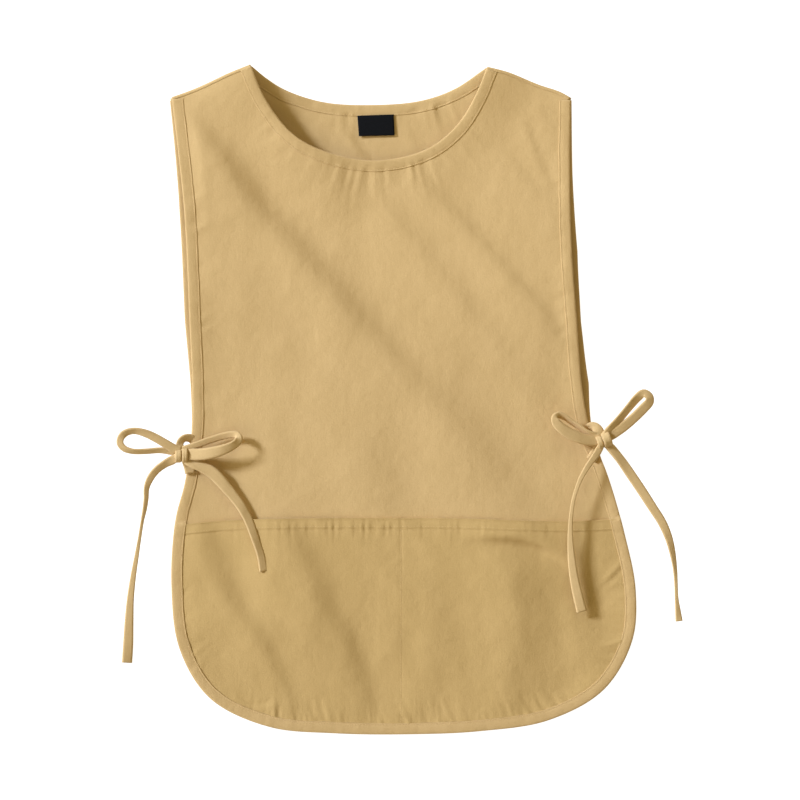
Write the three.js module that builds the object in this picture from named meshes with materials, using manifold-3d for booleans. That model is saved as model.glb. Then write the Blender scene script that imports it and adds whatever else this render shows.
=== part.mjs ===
import * as THREE from "three";
import Module from "manifold-3d";

// Sizes are in millimetres. The apron lies on its back on a flat surface: +X is the wearer's
// left, +Y points from the hem to the shoulders and +Z up from the surface. The origin is on
// the surface, in the middle of the body's length and width.

const bodyLength = 711; // neck points to the lowest point of the hem
const hemWidth = 496; // widest part of the skirt
const clothWall = 1.2; // front, back and pocket cloth
const tapeWall = 1; // folded binding and shoulder fold
const pieceGap = 0.4; // clearance between neighbouring pieces
const bindingWidth = 12; // visible width of the folded binding
const pocketHem = 12; // depth of the turned hem along the pocket's top
const pocketHemExtra = 0.6; // extra thickness of that hem
const hemStep = 0.8; // run over which that extra thickness ends
const crownRise = 9; // how far the front stands above its own edges
const crownReach = 75; // distance from the edge over which it gets there
const backSettle = 40; // distance from the edge over which the back comes down to the surface
const foldDepth = 4.6; // deepest fold of the front
const pouchRise = 1.8; // how far the pocket cloth stands off the front
const labelWidth = 39;
const labelHeight = 22;
const labelWall = 1;
const tieWidth = 10; // folded width of the ties
const tieWall = 1.2;
const bowRise = 26; // height of the highest part of a bow above what it lies on
const knotLength = 19;
const knotWidth = 16;
const knotHeight = 12;

const tapeInset = tapeWall + pieceGap; // from a binding's outer face to the edge of the cloth
const backEdgeRise = tapeWall + pieceGap; // the back binding's lower leg lies under the cloth
const bandHeight = clothWall + 2 * (tapeWall + pieceGap); // a bound edge with its clearances
const frontEdgeRise = backEdgeRise + bandHeight + pieceGap;

// Rows of cloth cells from the shoulder to the pocket and on to the rounded corner.
const frontCells = { side: 12, skirt: 6 };
const backCells = { side: 8, skirt: 4 };
const shoulderCells = 4;
const neckCells = 18;

// One row per point of the front's edge, from the left shoulder down, round the hem and up
// again: across is a share of hemWidth from the centre, down a share of bodyLength from the
// neck points, and peek how far the back's edge shows beyond it, as a share of bindingWidth.
const edgeRows = [
  { across: -0.4903, down: 0.0479, peek: 0.22 },
  { across: -0.4742, down: 0.1422, peek: 0.34 },
  { across: -0.4624, down: 0.226, peek: 0.48 },
  { across: -0.4521, down: 0.3817, peek: 0.46 },
  { across: -0.4464, down: 0.479, peek: 0.18 },
  { across: -0.4474, down: 0.5464, peek: 0.05 },
  { across: -0.4624, down: 0.6243, peek: -0.09 },
  { across: -0.4828, down: 0.6811, peek: -0.09 },
  { across: -0.4914, down: 0.7784, peek: -0.09 },
  { across: -0.4732, down: 0.8757, peek: -0.09 },
  { across: -0.4077, down: 0.9491, peek: -0.09 },
  { across: -0.2833, down: 0.991, peek: -0.09 },
  { across: -0.1395, down: 1.001, peek: -0.09 },
  { across: 0.0215, down: 1.0024, peek: -0.09 },
  { across: 0.1717, down: 0.9978, peek: -0.09 },
  { across: 0.3197, down: 0.9813, peek: -0.09 },
  { across: 0.4378, down: 0.9356, peek: -0.09 },
  { across: 0.4989, down: 0.8623, peek: -0.09 },
  { across: 0.5064, down: 0.7859, peek: -0.09 },
  { across: 0.4828, down: 0.7021, peek: -0.09 },
  { across: 0.4485, down: 0.6183, peek: -0.09 },
  { across: 0.4077, down: 0.5434, peek: 0.22 },
  { across: 0.3906, down: 0.4775, peek: 0.66 },
  { across: 0.3798, down: 0.3847, peek: 0.41 },
  { across: 0.3687, down: 0.2769, peek: 0.55 },
  { across: 0.3648, down: 0.1662, peek: 0.28 },
  { across: 0.367, down: 0.0479, peek: 0.09 },
];

const frontNeckRows = [
  { across: -0.3204, down: 0 },
  { across: -0.2876, down: 0.0524 },
  { across: -0.2275, down: 0.1048 },
  { across: -0.1545, down: 0.131 },
  { across: -0.0536, down: 0.1427 },
  { across: 0.0528, down: 0.1269 },
  { across: 0.118, down: 0.0928 },
  { across: 0.1588, down: 0.0494 },
  { across: 0.1873, down: 0.0022 },
];

const backNeckRows = [
  { across: -0.3204, down: 0 },
  { across: -0.2833, down: 0.021 },
  { across: -0.2446, down: 0.037 },
  { across: -0.1609, down: 0.0546 },
  { across: -0.0601, down: 0.0584 },
  { across: 0.0429, down: 0.0524 },
  { across: 0.118, down: 0.0344 },
  { across: 0.1873, down: 0.0022 },
];

const leftShoulderRows = [
  { across: -0.4903, down: 0.0479 },
  { across: -0.4506, down: 0.0382 },
  { across: -0.4185, down: 0.0292 },
  { across: -0.3691, down: 0.0135 },
  { across: -0.3204, down: 0 },
];

const rightShoulderRows = [
  { across: 0.1873, down: 0.0022 },
  { across: 0.2339, down: 0.0105 },
  { across: 0.2983, down: 0.0284 },
  { across: 0.3433, down: 0.0389 },
  { across: 0.367, down: 0.0479 },
];

const pocketTopRows = [
  { across: -0.4828, down: 0.6868 },
  { across: -0.3734, down: 0.6796 },
  { across: -0.2361, down: 0.6766 },
  { across: 0, down: 0.6759 },
  { across: 0.1416, down: 0.6766 },
  { across: 0.3562, down: 0.6811 },
  { across: 0.476, down: 0.6781 },
];

const hemCornerDown = 0.945; // level of the rounded corners' middles
const labelAcross = -0.0515;

// Both panels rise to the neck points: reach is a share of bodyLength, rise of crownRise.
const neckPeaks = [
  { across: -0.3204, down: 0, reach: 0.115, rise: 0.8 },
  { across: 0.1873, down: 0, reach: 0.09, rise: 0.5 },
];

// The front's open edges stand up at the neck and along the sides.
const edgeSwells = [
  { across: -0.2747, down: 0.0644, reach: 0.11, rise: 1.25 },
  { across: -0.176, down: 0.1272, reach: 0.11, rise: 0.6 },
  { across: 0.1588, down: 0.0494, reach: 0.09, rise: 0.3 },
  { across: -0.457, down: 0.3, reach: 0.22, rise: 0.55 },
  { across: 0.371, down: 0.32, reach: 0.24, rise: 0.75 },
];

// One row per fold of the front: its two ends, how far it bows aside and how wide it is as
// shares of bodyLength, and its depth as a share of foldDepth, below zero for a ridge.
const foldRows = [
  { from: [-0.4185, 0.1018], to: [-0.1502, 0.3293], sag: -0.012, width: 0.026, depth: 1 },
  { from: [-0.1717, 0.3069], to: [0.1073, 0.5015], sag: 0.008, width: 0.035, depth: 0.5 },
  { from: [-0.397, 0.1871], to: [-0.1502, 0.3967], sag: 0, width: 0.045, depth: -0.45 },
  { from: [0.0451, 0.1766], to: [0.3133, 0.3698], sag: -0.012, width: 0.03, depth: 0.9 },
  { from: [0.0343, 0.2246], to: [0.2704, 0.4117], sag: 0, width: 0.045, depth: -0.4 },
  { from: [0.2876, 0.1063], to: [0.324, 0.1766], sag: 0, width: 0.02, depth: 0.3 },
  { from: [-0.2124, 0.72], to: [-0.0515, 0.9446], sag: 0.01, width: 0.026, depth: 0.8 },
  { from: [-0.397, 0.726], to: [-0.2232, 0.9641], sag: 0.012, width: 0.024, depth: 0.6 },
  { from: [0.1502, 0.7231], to: [0.3648, 0.744], sag: 0, width: 0.022, depth: 0.35 },
  { from: [0.3026, 0.8443], to: [0.2425, 0.9311], sag: 0, width: 0.035, depth: 0.6 },
];

// One row per point of a loop or tail, from the knot outwards: lift is a share of bowRise
// above what lies below, roll the tape's turn about its own length in degrees.
const tieTables = {
  left_outer_loop: [
    { across: -0.4657, down: 0.5823, lift: 0.62, roll: 0 },
    { across: -0.485, down: 0.573, lift: 0.75, roll: 15 },
    { across: -0.5172, down: 0.5554, lift: 0.92, roll: 38 },
    { across: -0.5481, down: 0.5443, lift: 1, roll: 42 },
    { across: -0.5794, down: 0.5426, lift: 1, roll: 30 },
    { across: -0.6009, down: 0.5539, lift: 0.9, roll: 10 },
    { across: -0.6047, down: 0.5673, lift: 0.72, roll: -10 },
    { across: -0.5923, down: 0.5793, lift: 0.55, roll: -30 },
    { across: -0.5644, down: 0.5838, lift: 0.42, roll: -42 },
    { across: -0.5279, down: 0.5831, lift: 0.36, roll: -38 },
    { across: -0.485, down: 0.5845, lift: 0.36, roll: -15 },
    { across: -0.4657, down: 0.585, lift: 0.4, roll: 0 },
  ],
  left_inner_loop: [
    { across: -0.4657, down: 0.582, lift: 0.62, roll: 0 },
    { across: -0.4464, down: 0.5763, lift: 0.5, roll: 15 },
    { across: -0.4142, down: 0.5644, lift: 0.58, roll: 32 },
    { across: -0.3755, down: 0.5534, lift: 0.68, roll: 38 },
    { across: -0.3506, down: 0.5516, lift: 0.7, roll: 25 },
    { across: -0.3433, down: 0.5644, lift: 0.6, roll: 0 },
    { across: -0.3541, down: 0.5793, lift: 0.42, roll: -25 },
    { across: -0.3948, down: 0.5883, lift: 0.24, roll: -35 },
    { across: -0.44, down: 0.5895, lift: 0.16, roll: -15 },
    { across: -0.4657, down: 0.5865, lift: 0.52, roll: 0 },
  ],
  left_outer_tail: [
    { across: -0.4657, down: 0.5853, lift: 0.34, roll: 0 },
    { across: -0.4871, down: 0.594, lift: 0.2, roll: 6 },
    { across: -0.5172, down: 0.6033, lift: 0.24, roll: 26 },
    { across: -0.5386, down: 0.6213, lift: 0.3, roll: 45 },
    { across: -0.5472, down: 0.6617, lift: 0.3, roll: 55 },
    { across: -0.558, down: 0.7021, lift: 0.3, roll: 68 },
    { across: -0.5676, down: 0.7425, lift: 0.28, roll: 62 },
    { across: -0.5815, down: 0.7949, lift: 0.2, roll: 40 },
    { across: -0.5843, down: 0.8353, lift: 0.12, roll: 20 },
    { across: -0.5869, down: 0.8997, lift: 0.06, roll: 8 },
  ],
  left_inner_tail: [
    { across: -0.4657, down: 0.5853, lift: 0.4, roll: 0 },
    { across: -0.4442, down: 0.5943, lift: 0.3, roll: -8 },
    { across: -0.4142, down: 0.6078, lift: 0.24, roll: -18 },
    { across: -0.3755, down: 0.6298, lift: 0.28, roll: -22 },
    { across: -0.3526, down: 0.6512, lift: 0.32, roll: -20 },
    { across: -0.3305, down: 0.6751, lift: 0.34, roll: -15 },
    { across: -0.3112, down: 0.7046, lift: 0.36, roll: -10 },
    { across: -0.2989, down: 0.7365, lift: 0.38, roll: -5 },
    { across: -0.2918, down: 0.7605, lift: 0.4, roll: 0 },
  ],
  right_outer_loop: [
    { across: 0.4378, down: 0.5614, lift: 0.42, roll: 0 },
    { across: 0.4571, down: 0.548, lift: 0.55, roll: -15 },
    { across: 0.4785, down: 0.518, lift: 0.8, roll: -30 },
    { across: 0.5107, down: 0.4895, lift: 0.98, roll: -35 },
    { across: 0.5272, down: 0.4865, lift: 1, roll: -10 },
    { across: 0.5386, down: 0.497, lift: 0.94, roll: 10 },
    { across: 0.5193, down: 0.5195, lift: 0.78, roll: 32 },
    { across: 0.4807, down: 0.5449, lift: 0.56, roll: 30 },
    { across: 0.4571, down: 0.5584, lift: 0.36, roll: 15 },
    { across: 0.4378, down: 0.5659, lift: 0.24, roll: 0 },
  ],
  right_inner_loop: [
    { across: 0.4378, down: 0.5614, lift: 0.42, roll: 0 },
    { across: 0.4163, down: 0.5644, lift: 0.18, roll: 8 },
    { across: 0.394, down: 0.5689, lift: 0.26, roll: 26 },
    { across: 0.3684, down: 0.56, lift: 0.5, roll: 35 },
    { across: 0.3326, down: 0.5389, lift: 0.68, roll: 25 },
    { across: 0.324, down: 0.5299, lift: 0.74, roll: 5 },
    { across: 0.3455, down: 0.5209, lift: 0.76, roll: -20 },
    { across: 0.3712, down: 0.5344, lift: 0.78, roll: -30 },
    { across: 0.4077, down: 0.5513, lift: 0.7, roll: -15 },
    { across: 0.4378, down: 0.559, lift: 0.64, roll: 0 },
  ],
  right_inner_tail: [
    { across: 0.4378, down: 0.5614, lift: 0.42, roll: 0 },
    { across: 0.4238, down: 0.5749, lift: 0.42, roll: 25 },
    { across: 0.4056, down: 0.6003, lift: 0.42, roll: 50 },
    { across: 0.3833, down: 0.6371, lift: 0.4, roll: 60 },
    { across: 0.3684, down: 0.6707, lift: 0.38, roll: 58 },
    { across: 0.3627, down: 0.7015, lift: 0.38, roll: 50 },
    { across: 0.3627, down: 0.7275, lift: 0.4, roll: 40 },
    { across: 0.3684, down: 0.766, lift: 0.46, roll: 25 },
    { across: 0.3884, down: 0.8174, lift: 0.56, roll: 10 },
  ],
  right_outer_tail: [
    { across: 0.4378, down: 0.5614, lift: 0.42, roll: 0 },
    { across: 0.4528, down: 0.5704, lift: 0.46, roll: 10 },
    { across: 0.4785, down: 0.6003, lift: 0.42, roll: 25 },
    { across: 0.5086, down: 0.6317, lift: 0.36, roll: 30 },
    { across: 0.5386, down: 0.6602, lift: 0.3, roll: 32 },
    { across: 0.5644, down: 0.6856, lift: 0.26, roll: 35 },
    { across: 0.579, down: 0.7141, lift: 0.24, roll: 42 },
    { across: 0.5921, down: 0.766, lift: 0.22, roll: 48 },
    { across: 0.5937, down: 0.7919, lift: 0.2, roll: 38 },
    { across: 0.5987, down: 0.8331, lift: 0.12, roll: 12 },
  ],
  left_back_tie: [
    { across: -0.4657, down: 0.5823, lift: 0.45, roll: 0 },
    { across: -0.4571, down: 0.567, lift: 0.4, roll: 0 },
    { across: -0.4485, down: 0.5539, lift: 0.3, roll: 0 },
  ],
  left_front_tie: [
    { across: -0.4657, down: 0.5853, lift: 0.42, roll: 0 },
    { across: -0.4635, down: 0.599, lift: 0.37, roll: 0 },
    { across: -0.4592, down: 0.614, lift: 0.37, roll: 0 },
  ],
  right_back_tie: [
    { across: 0.4378, down: 0.5614, lift: 0.42, roll: 0 },
    { across: 0.427, down: 0.548, lift: 0.5, roll: 0 },
    { across: 0.4206, down: 0.536, lift: 0.36, roll: 0 },
  ],
  right_front_tie: [
    { across: 0.4378, down: 0.5614, lift: 0.42, roll: 0 },
    { across: 0.4357, down: 0.578, lift: 0.42, roll: 0 },
    { across: 0.4314, down: 0.5943, lift: 0.045, roll: 0 },
  ],
};

const knots = {
  left: { across: -0.4657, down: 0.5838, lift: 0.52, turn: 10 },
  right: { across: 0.4378, down: 0.5614, lift: 0.52, turn: 40 },
};

const wasm = await Module();
wasm.setup();
const { Manifold, Mesh } = wasm;

const colours = {
  cloth: { color: 0xd1b07c, roughness: 0.9, metalness: 0 },
  pocket: { color: 0xc9a96e, roughness: 0.9, metalness: 0 },
  binding: { color: 0xc8a36b, roughness: 0.88, metalness: 0 },
  tie: { color: 0xcfae78, roughness: 0.88, metalness: 0 },
  label: { color: 0x191b1e, roughness: 0.6, metalness: 0 },
};

const apron = new THREE.Group();

function addPiece(name, geometry, colour) {
  const mesh = new THREE.Mesh(geometry, new THREE.MeshStandardMaterial(colours[colour]));
  mesh.name = name;
  apron.add(mesh);
}

function place(row) {
  return new THREE.Vector3(row.across * hemWidth, (0.5 - row.down) * bodyLength, 0);
}

function curveThrough(points) {
  return new THREE.CatmullRomCurve3(points, false, "centripetal");
}

function smooth(low, high, value) {
  return THREE.MathUtils.smoothstep(value, low, high);
}

function flatDistance(a, b) {
  return Math.hypot(a.x - b.x, a.y - b.y);
}

function spaced(curve, start, end, count) {
  return Array.from({ length: count + 1 }, (_, i) =>
    curve.getPointAt(THREE.MathUtils.lerp(start, end, i / count)),
  );
}

// Moves a row of points so that it starts and ends at the two given points.
function fitEnds(points, first, last) {
  const atFirst = first.clone().sub(points[0]);
  const atLast = last.clone().sub(points[points.length - 1]);
  return points.map((point, i) => {
    const share = i / (points.length - 1);
    return point
      .clone()
      .addScaledVector(atFirst, 1 - share)
      .addScaledVector(atLast, share);
  });
}

// Share of the curve's length at which it passes the given level, from one end or the other.
function levelOn(curve, level, fromEnd) {
  const steps = 2000;
  for (let i = 0; i <= steps; i++) {
    const share = fromEnd ? 1 - i / steps : i / steps;
    if (curve.getPointAt(share).y <= level) return share;
  }
  return 0.5;
}

// Normals of a closed row of points, to the left of its direction, long enough that points
// moved along them by one distance make a parallel row.
function mitres(points) {
  return points.map((point, i) => {
    const before = points[(i + points.length - 1) % points.length];
    const after = points[(i + 1) % points.length];
    const first = leftOf(before, point);
    const second = leftOf(point, after);
    return first
      .clone()
      .add(second)
      .divideScalar(1 + first.dot(second));
  });
}

function leftOf(from, to) {
  const along = new THREE.Vector3(to.x - from.x, to.y - from.y, 0).normalize();
  return new THREE.Vector3(-along.y, along.x, 0);
}

function swells(rows, point) {
  return rows.reduce((sum, row) => {
    const away = flatDistance(place(row), point) / (row.reach * bodyLength);
    return sum + (away < 1 ? row.rise * crownRise * (1 - away * away) ** 2 : 0);
  }, 0);
}

function folds(point) {
  return foldRows.reduce((sum, row) => {
    const from = place({ across: row.from[0], down: row.from[1] });
    const to = place({ across: row.to[0], down: row.to[1] });
    const along = to.clone().sub(from);
    const offset = point.clone().setZ(0).sub(from);
    const share = THREE.MathUtils.clamp(offset.dot(along) / along.lengthSq(), 0, 1);
    const aside = (along.x * offset.y - along.y * offset.x) / along.length();
    const bowed = aside - row.sag * bodyLength * 4 * share * (1 - share);
    const across = Math.exp(-((bowed / (row.width * bodyLength)) ** 2));
    const ends = smooth(0, 0.25, share) * (1 - smooth(0.75, 1, share));
    return sum - row.depth * foldDepth * across * ends;
  }, 0);
}

// The plan of one panel: the closed row of its outer points, the parallel rows inside it, and
// the cells between them.
function panelPlan(edgePoints, neckRows, { side, skirt }) {
  const edge = curveThrough(edgePoints);
  const neck = curveThrough(neckRows.map(place));
  const leftShoulder = fitCurve(leftShoulderRows, edge.getPoint(0), neck.getPoint(0));
  const rightShoulder = fitCurve(rightShoulderRows, neck.getPoint(1), edge.getPoint(1));
  const length = edge.getLength();
  const pocketLeft = levelOn(edge, place(pocketTopRows[0]).y, false);
  const pocketRight = levelOn(edge, place(pocketTopRows.at(-1)).y, true);
  const cornerLeft = levelOn(edge, place({ across: 0, down: hemCornerDown }).y, false);
  const cornerRight = levelOn(edge, place({ across: 0, down: hemCornerDown }).y, true);
  const columns = 2 * shoulderCells + neckCells;
  const bandShare = pocketHem / length;
  const stepShare = (pocketHem + hemStep) / length;
  const left = [
    ...spaced(edge, 0, pocketLeft, side),
    edge.getPointAt(pocketLeft + bandShare),
    ...spaced(edge, pocketLeft + stepShare, cornerLeft, skirt),
  ];
  const right = [
    ...spaced(edge, 1, pocketRight, side),
    edge.getPointAt(pocketRight - bandShare),
    ...spaced(edge, pocketRight - stepShare, cornerRight, skirt),
  ];
  const hem = spaced(edge, cornerLeft, cornerRight, columns);
  const top = [
    ...spaced(leftShoulder, 0, 1, shoulderCells),
    ...spaced(neck, 0, 1, neckCells).slice(1),
    ...spaced(rightShoulder, 0, 1, shoulderCells).slice(1),
  ];
  const rows = left.length - 1;
  const outer = [
    ...left,
    ...hem.slice(1, -1),
    ...right.slice().reverse(),
    ...top.slice(1, -1).reverse(),
  ].map((point) => point.clone().setZ(0));
  const normals = mitres(outer);
  const inset = (distance) =>
    outer.map((point, i) => point.clone().addScaledVector(normals[i], distance));
  return { outer, inset, rows, columns, pocketRow: side };
}

function fitCurve(rows, first, last) {
  return curveThrough(fitEnds(rows.map(place), first, last).map((p) => p.setZ(0)));
}

// Numbers of the ring's points, by side.
function ringSides({ rows, columns, outer }) {
  const count = outer.length;
  const left = Array.from({ length: rows + 1 }, (_, i) => i);
  const hem = Array.from({ length: columns + 1 }, (_, i) => rows + i);
  const right = Array.from({ length: rows + 1 }, (_, i) => 2 * rows + columns - i);
  const top = Array.from({ length: columns + 1 }, (_, i) => (count - i) % count);
  return { left, hem, right, top };
}

// Fills the rows between two known rows of points, whose ends run along the two sides.
function fillBetween(grid, sides, first, last, columns) {
  const [from, to] = [grid[first], grid[last]];
  const run = (side, row) =>
    flatDistance(side[first], side[row]) / flatDistance(side[first], side[last]);
  for (let row = first + 1; row < last; row++) {
    const [leftSide, rightSide] = sides;
    grid[row] = from.map((_, i) => {
      const u = i / columns;
      const v = THREE.MathUtils.lerp(run(leftSide, row), run(rightSide, row), u);
      const ruled = from[i].clone().lerp(to[i], v);
      const across = leftSide[row].clone().lerp(rightSide[row], u);
      const cornersLeft = leftSide[first].clone().lerp(leftSide[last], v);
      const cornersRight = rightSide[first].clone().lerp(rightSide[last], v);
      return ruled.add(across).sub(cornersLeft.lerp(cornersRight, u));
    });
  }
}

// Vertices and cells of a panel: a band of cells along its edge and a grid inside it.
function panelCells(panel) {
  const sides = ringSides(panel);
  const { rows, columns, pocketRow } = panel;
  const edge = panel.inset(tapeInset);
  const ring = panel.inset(bindingWidth);
  const leftSide = sides.left.map((i) => ring[i]);
  const rightSide = sides.right.map((i) => ring[i]);
  const grid = [];
  grid[0] = sides.top.map((i) => ring[i]);
  grid[rows] = sides.hem.map((i) => ring[i]);
  const pocketLine = spaced(curveThrough(pocketTopRows.map(place)), 0, 1, columns);
  [0, 1, 2].forEach((step) => {
    const row = pocketRow + step;
    grid[row] = fitEnds(pocketLine, leftSide[row], rightSide[row]);
  });
  fillBetween(grid, [leftSide, rightSide], 0, pocketRow, columns);
  fillBetween(grid, [leftSide, rightSide], pocketRow + 2, rows, columns);
  const points = [...edge, ...ring];
  const count = edge.length;
  const numbers = grid.map((row, j) =>
    row.map((point, i) => {
      if (i === 0) return count + sides.left[j];
      if (i === columns) return count + sides.right[j];
      if (j === 0) return count + sides.top[i];
      if (j === rows) return count + sides.hem[i];
      return points.push(point) - 1;
    }),
  );
  const cells = [];
  for (let j = 0; j < rows; j++)
    for (let i = 0; i < columns; i++)
      cells.push({
        row: j,
        corners: [numbers[j][i], numbers[j + 1][i], numbers[j + 1][i + 1], numbers[j][i + 1]],
      });
  for (let k = 0; k < count; k++) {
    const next = (k + 1) % count;
    cells.push({ row: bandRow(k, panel), corners: [k, next, count + next, count + k] });
  }
  return { points, cells, numbers, sides, count };
}

// The row of the grid beside which a cell of the edge band lies, or -1 along the top.
function bandRow(k, { rows, columns }) {
  if (k < rows) return k;
  if (k < rows + columns) return rows;
  if (k < 2 * rows + columns) return 2 * rows + columns - 1 - k;
  return -1;
}

// A closed sheet over some cells: under and over give the heights of its two faces at a vertex.
function sheetGeometry(points, cells, under, over) {
  const used = new Map();
  const position = [];
  const index = [];
  const edges = new Map();
  const pair = (i) => {
    if (!used.has(i)) {
      used.set(i, position.length / 3);
      position.push(points[i].x, points[i].y, under(i), points[i].x, points[i].y, over(i));
    }
    return used.get(i);
  };
  cells.forEach(({ corners }) => {
    const [a, b, c, d] = corners.map(pair);
    index.push(a + 1, b + 1, c + 1, a + 1, c + 1, d + 1);
    index.push(a, c, b, a, d, c);
    corners.forEach((from, k) => {
      const to = corners[(k + 1) % 4];
      const back = to + "/" + from;
      if (!edges.delete(back)) edges.set(from + "/" + to, [pair(from), pair(to)]);
    });
  });
  for (const [from, to] of edges.values())
    index.push(from, to, to + 1, from, to + 1, from + 1);
  return indexed(position, index);
}

function indexed(position, index) {
  return new THREE.BufferGeometry()
    .setAttribute("position", new THREE.Float32BufferAttribute(position, 3))
    .setIndex(index);
}

// A strip through sections of the same number of points, closed at both ends.
function stripGeometry(sections) {
  const size = sections[0].length;
  const position = sections.flat().flatMap((point) => point.toArray());
  const index = [];
  for (let s = 0; s + 1 < sections.length; s++)
    for (let k = 0; k < size; k++) {
      const a = s * size + k;
      const b = s * size + ((k + 1) % size);
      index.push(a, b, b + size, a, b + size, a + size);
    }
  const last = (sections.length - 1) * size;
  capOf(sections[0]).forEach(([a, b, c]) => index.push(c, b, a));
  capOf(sections.at(-1)).forEach(([a, b, c]) => index.push(last + a, last + b, last + c));
  return outward(indexed(position, index));
}

// Triangles that close a section, in the direction in which its points run.
function capOf(section) {
  const aside = section
    .map((point) => point.clone().sub(section[0]).setZ(0))
    .reduce((far, point) => (point.lengthSq() > far.lengthSq() ? point : far))
    .normalize();
  const flat = section.map((point) => new THREE.Vector2(point.dot(aside), point.z));
  const triangles = THREE.ShapeUtils.triangulateShape(flat, []);
  const turn = ([a, b, c]) =>
    flat[b].clone().sub(flat[a]).cross(flat[c].clone().sub(flat[a]));
  const along = triangles.reduce((sum, triangle) => sum + turn(triangle), 0);
  const same = along > 0 === THREE.ShapeUtils.area(flat) > 0;
  return same ? triangles : triangles.map(([a, b, c]) => [c, b, a]);
}

function outward(geometry) {
  const solid = new Manifold(meshOf(geometry));
  if (solid.volume() > 0) return geometry;
  const index = Array.from(geometry.index.array);
  for (let i = 0; i < index.length; i += 3)
    [index[i + 1], index[i + 2]] = [index[i + 2], index[i + 1]];
  return geometry.setIndex(index);
}

function meshOf(geometry) {
  return new Mesh({
    numProp: 3,
    vertProperties: new Float32Array(geometry.attributes.position.array),
    triVerts: new Uint32Array(geometry.index.array),
  });
}

function cut(geometry, tool) {
  const { vertProperties, triVerts } = new Manifold(meshOf(geometry))
    .subtract(new Manifold(meshOf(tool)))
    .getMesh();
  return indexed(Array.from(vertProperties), Array.from(triVerts));
}

const frontEdge = edgeRows.map((row) => place(row));
const frontPlan = panelPlan(frontEdge, frontNeckRows, frontCells);
const backPlan = panelPlan(backEdgePoints(), backNeckRows, backCells);

// The back's edge, moved out from the front's by the peek of each row.
function backEdgePoints() {
  const curve = curveThrough(frontEdge);
  return edgeRows.map((row, i) => {
    const tangent = curve.getTangent(i / (edgeRows.length - 1));
    const outwards = new THREE.Vector3(tangent.y, -tangent.x, 0).normalize();
    return place(row).addScaledVector(outwards, row.peek * bindingWidth);
  });
}

function distanceTo(outer, first, last, point) {
  let nearest = Infinity;
  for (let k = first; k < last; k++) {
    const from = outer[k % outer.length];
    const along = outer[(k + 1) % outer.length].clone().sub(from);
    const offset = point.clone().setZ(0).sub(from);
    const share = THREE.MathUtils.clamp(offset.dot(along) / along.lengthSq(), 0, 1);
    nearest = Math.min(nearest, offset.addScaledVector(along, -share).length());
  }
  return nearest;
}

// Height of the front's underside.
function frontUnder(point) {
  const { outer, rows, columns } = frontPlan;
  const sideEnd = 2 * rows + columns;
  const toEdge = distanceTo(outer, 0, sideEnd, point);
  const toShoulder = Math.min(
    distanceTo(outer, sideEnd, sideEnd + shoulderCells, point),
    distanceTo(outer, outer.length - shoulderCells, outer.length, point),
  );
  const pinned =
    smooth(bindingWidth, crownReach, toEdge) * smooth(bindingWidth, crownReach, toShoulder);
  const free = swells(neckPeaks, point) + swells(edgeSwells, point);
  return frontEdgeRise + free + pinned * (crownRise + folds(point));
}

// Height of the back's underside.
function backUnder(point) {
  const { outer } = backPlan;
  const toEdge = distanceTo(outer, 0, outer.length, point);
  const settled = smooth(bindingWidth + pieceGap, backSettle, toEdge);
  return swells(neckPeaks, point) + backEdgeRise * (1 - settled);
}

function heights(points, rule) {
  const values = points.map(rule);
  return (i) => values[i];
}

const front = panelCells(frontPlan);
const back = panelCells(backPlan);
const frontLow = heights(front.points, frontUnder);
const backLow = heights(back.points, backUnder);
const over = (low, extra) => (i) => low(i) + extra;

addPiece(
  "back_panel",
  sheetGeometry(back.points, back.cells, backLow, over(backLow, clothWall)),
  "cloth",
);
addPiece(
  "front_panel",
  sheetGeometry(front.points, front.cells, frontLow, over(frontLow, clothWall)),
  "cloth",
);

// The pocket lies on the front's own cells below the pocket line.
const pocketCells = front.cells.filter(({ row }) => row >= frontPlan.pocketRow);
const pouch = new Map();
front.numbers.forEach((row, j) => {
  const below = (j - frontPlan.pocketRow) / (frontPlan.rows - frontPlan.pocketRow);
  row.forEach((number, i) => {
    const share = (2 * i) / frontPlan.columns;
    const bulge = Math.sin(Math.PI * (share % 1)) ** 2;
    const inside = j > 0 && j < frontPlan.rows && i > 0 && i < frontPlan.columns;
    if (below >= 0 && inside) pouch.set(number, pouchRise * bulge * (1 - below));
  });
});
const hemRows = [frontPlan.pocketRow, frontPlan.pocketRow + 1];
const hemNumbers = new Set(
  hemRows.flatMap((j) => [
    ...front.numbers[j],
    front.sides.left[j],
    front.sides.right[j],
  ]),
);
const pocketLow = (i) => frontLow(i) + clothWall + pieceGap + (pouch.get(i) ?? 0);
const pocketHigh = (i) =>
  pocketLow(i) + clothWall + (hemNumbers.has(i) ? pocketHemExtra : 0);
addPiece(
  "front_pocket",
  sheetGeometry(front.points, pocketCells, pocketLow, pocketHigh),
  "pocket",
);

// Where a corner's two edges are a and b away: the point of an end section of a binding.
function cornerPoint(outer, k, ringStep, a, b) {
  const count = outer.length;
  const corner = outer[k];
  const next = outer[(k + ringStep + count) % count];
  const other = outer[(k - ringStep + count) % count];
  const along = ringStep > 0 ? leftOf(corner, next) : leftOf(next, corner);
  const end = ringStep > 0 ? leftOf(other, corner) : leftOf(corner, other);
  const c = along.dot(end);
  const first = (a - c * b) / (1 - c * c);
  const second = (b - c * a) / (1 - c * c);
  return corner.clone().addScaledVector(along, first).addScaledVector(end, second);
}

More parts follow.
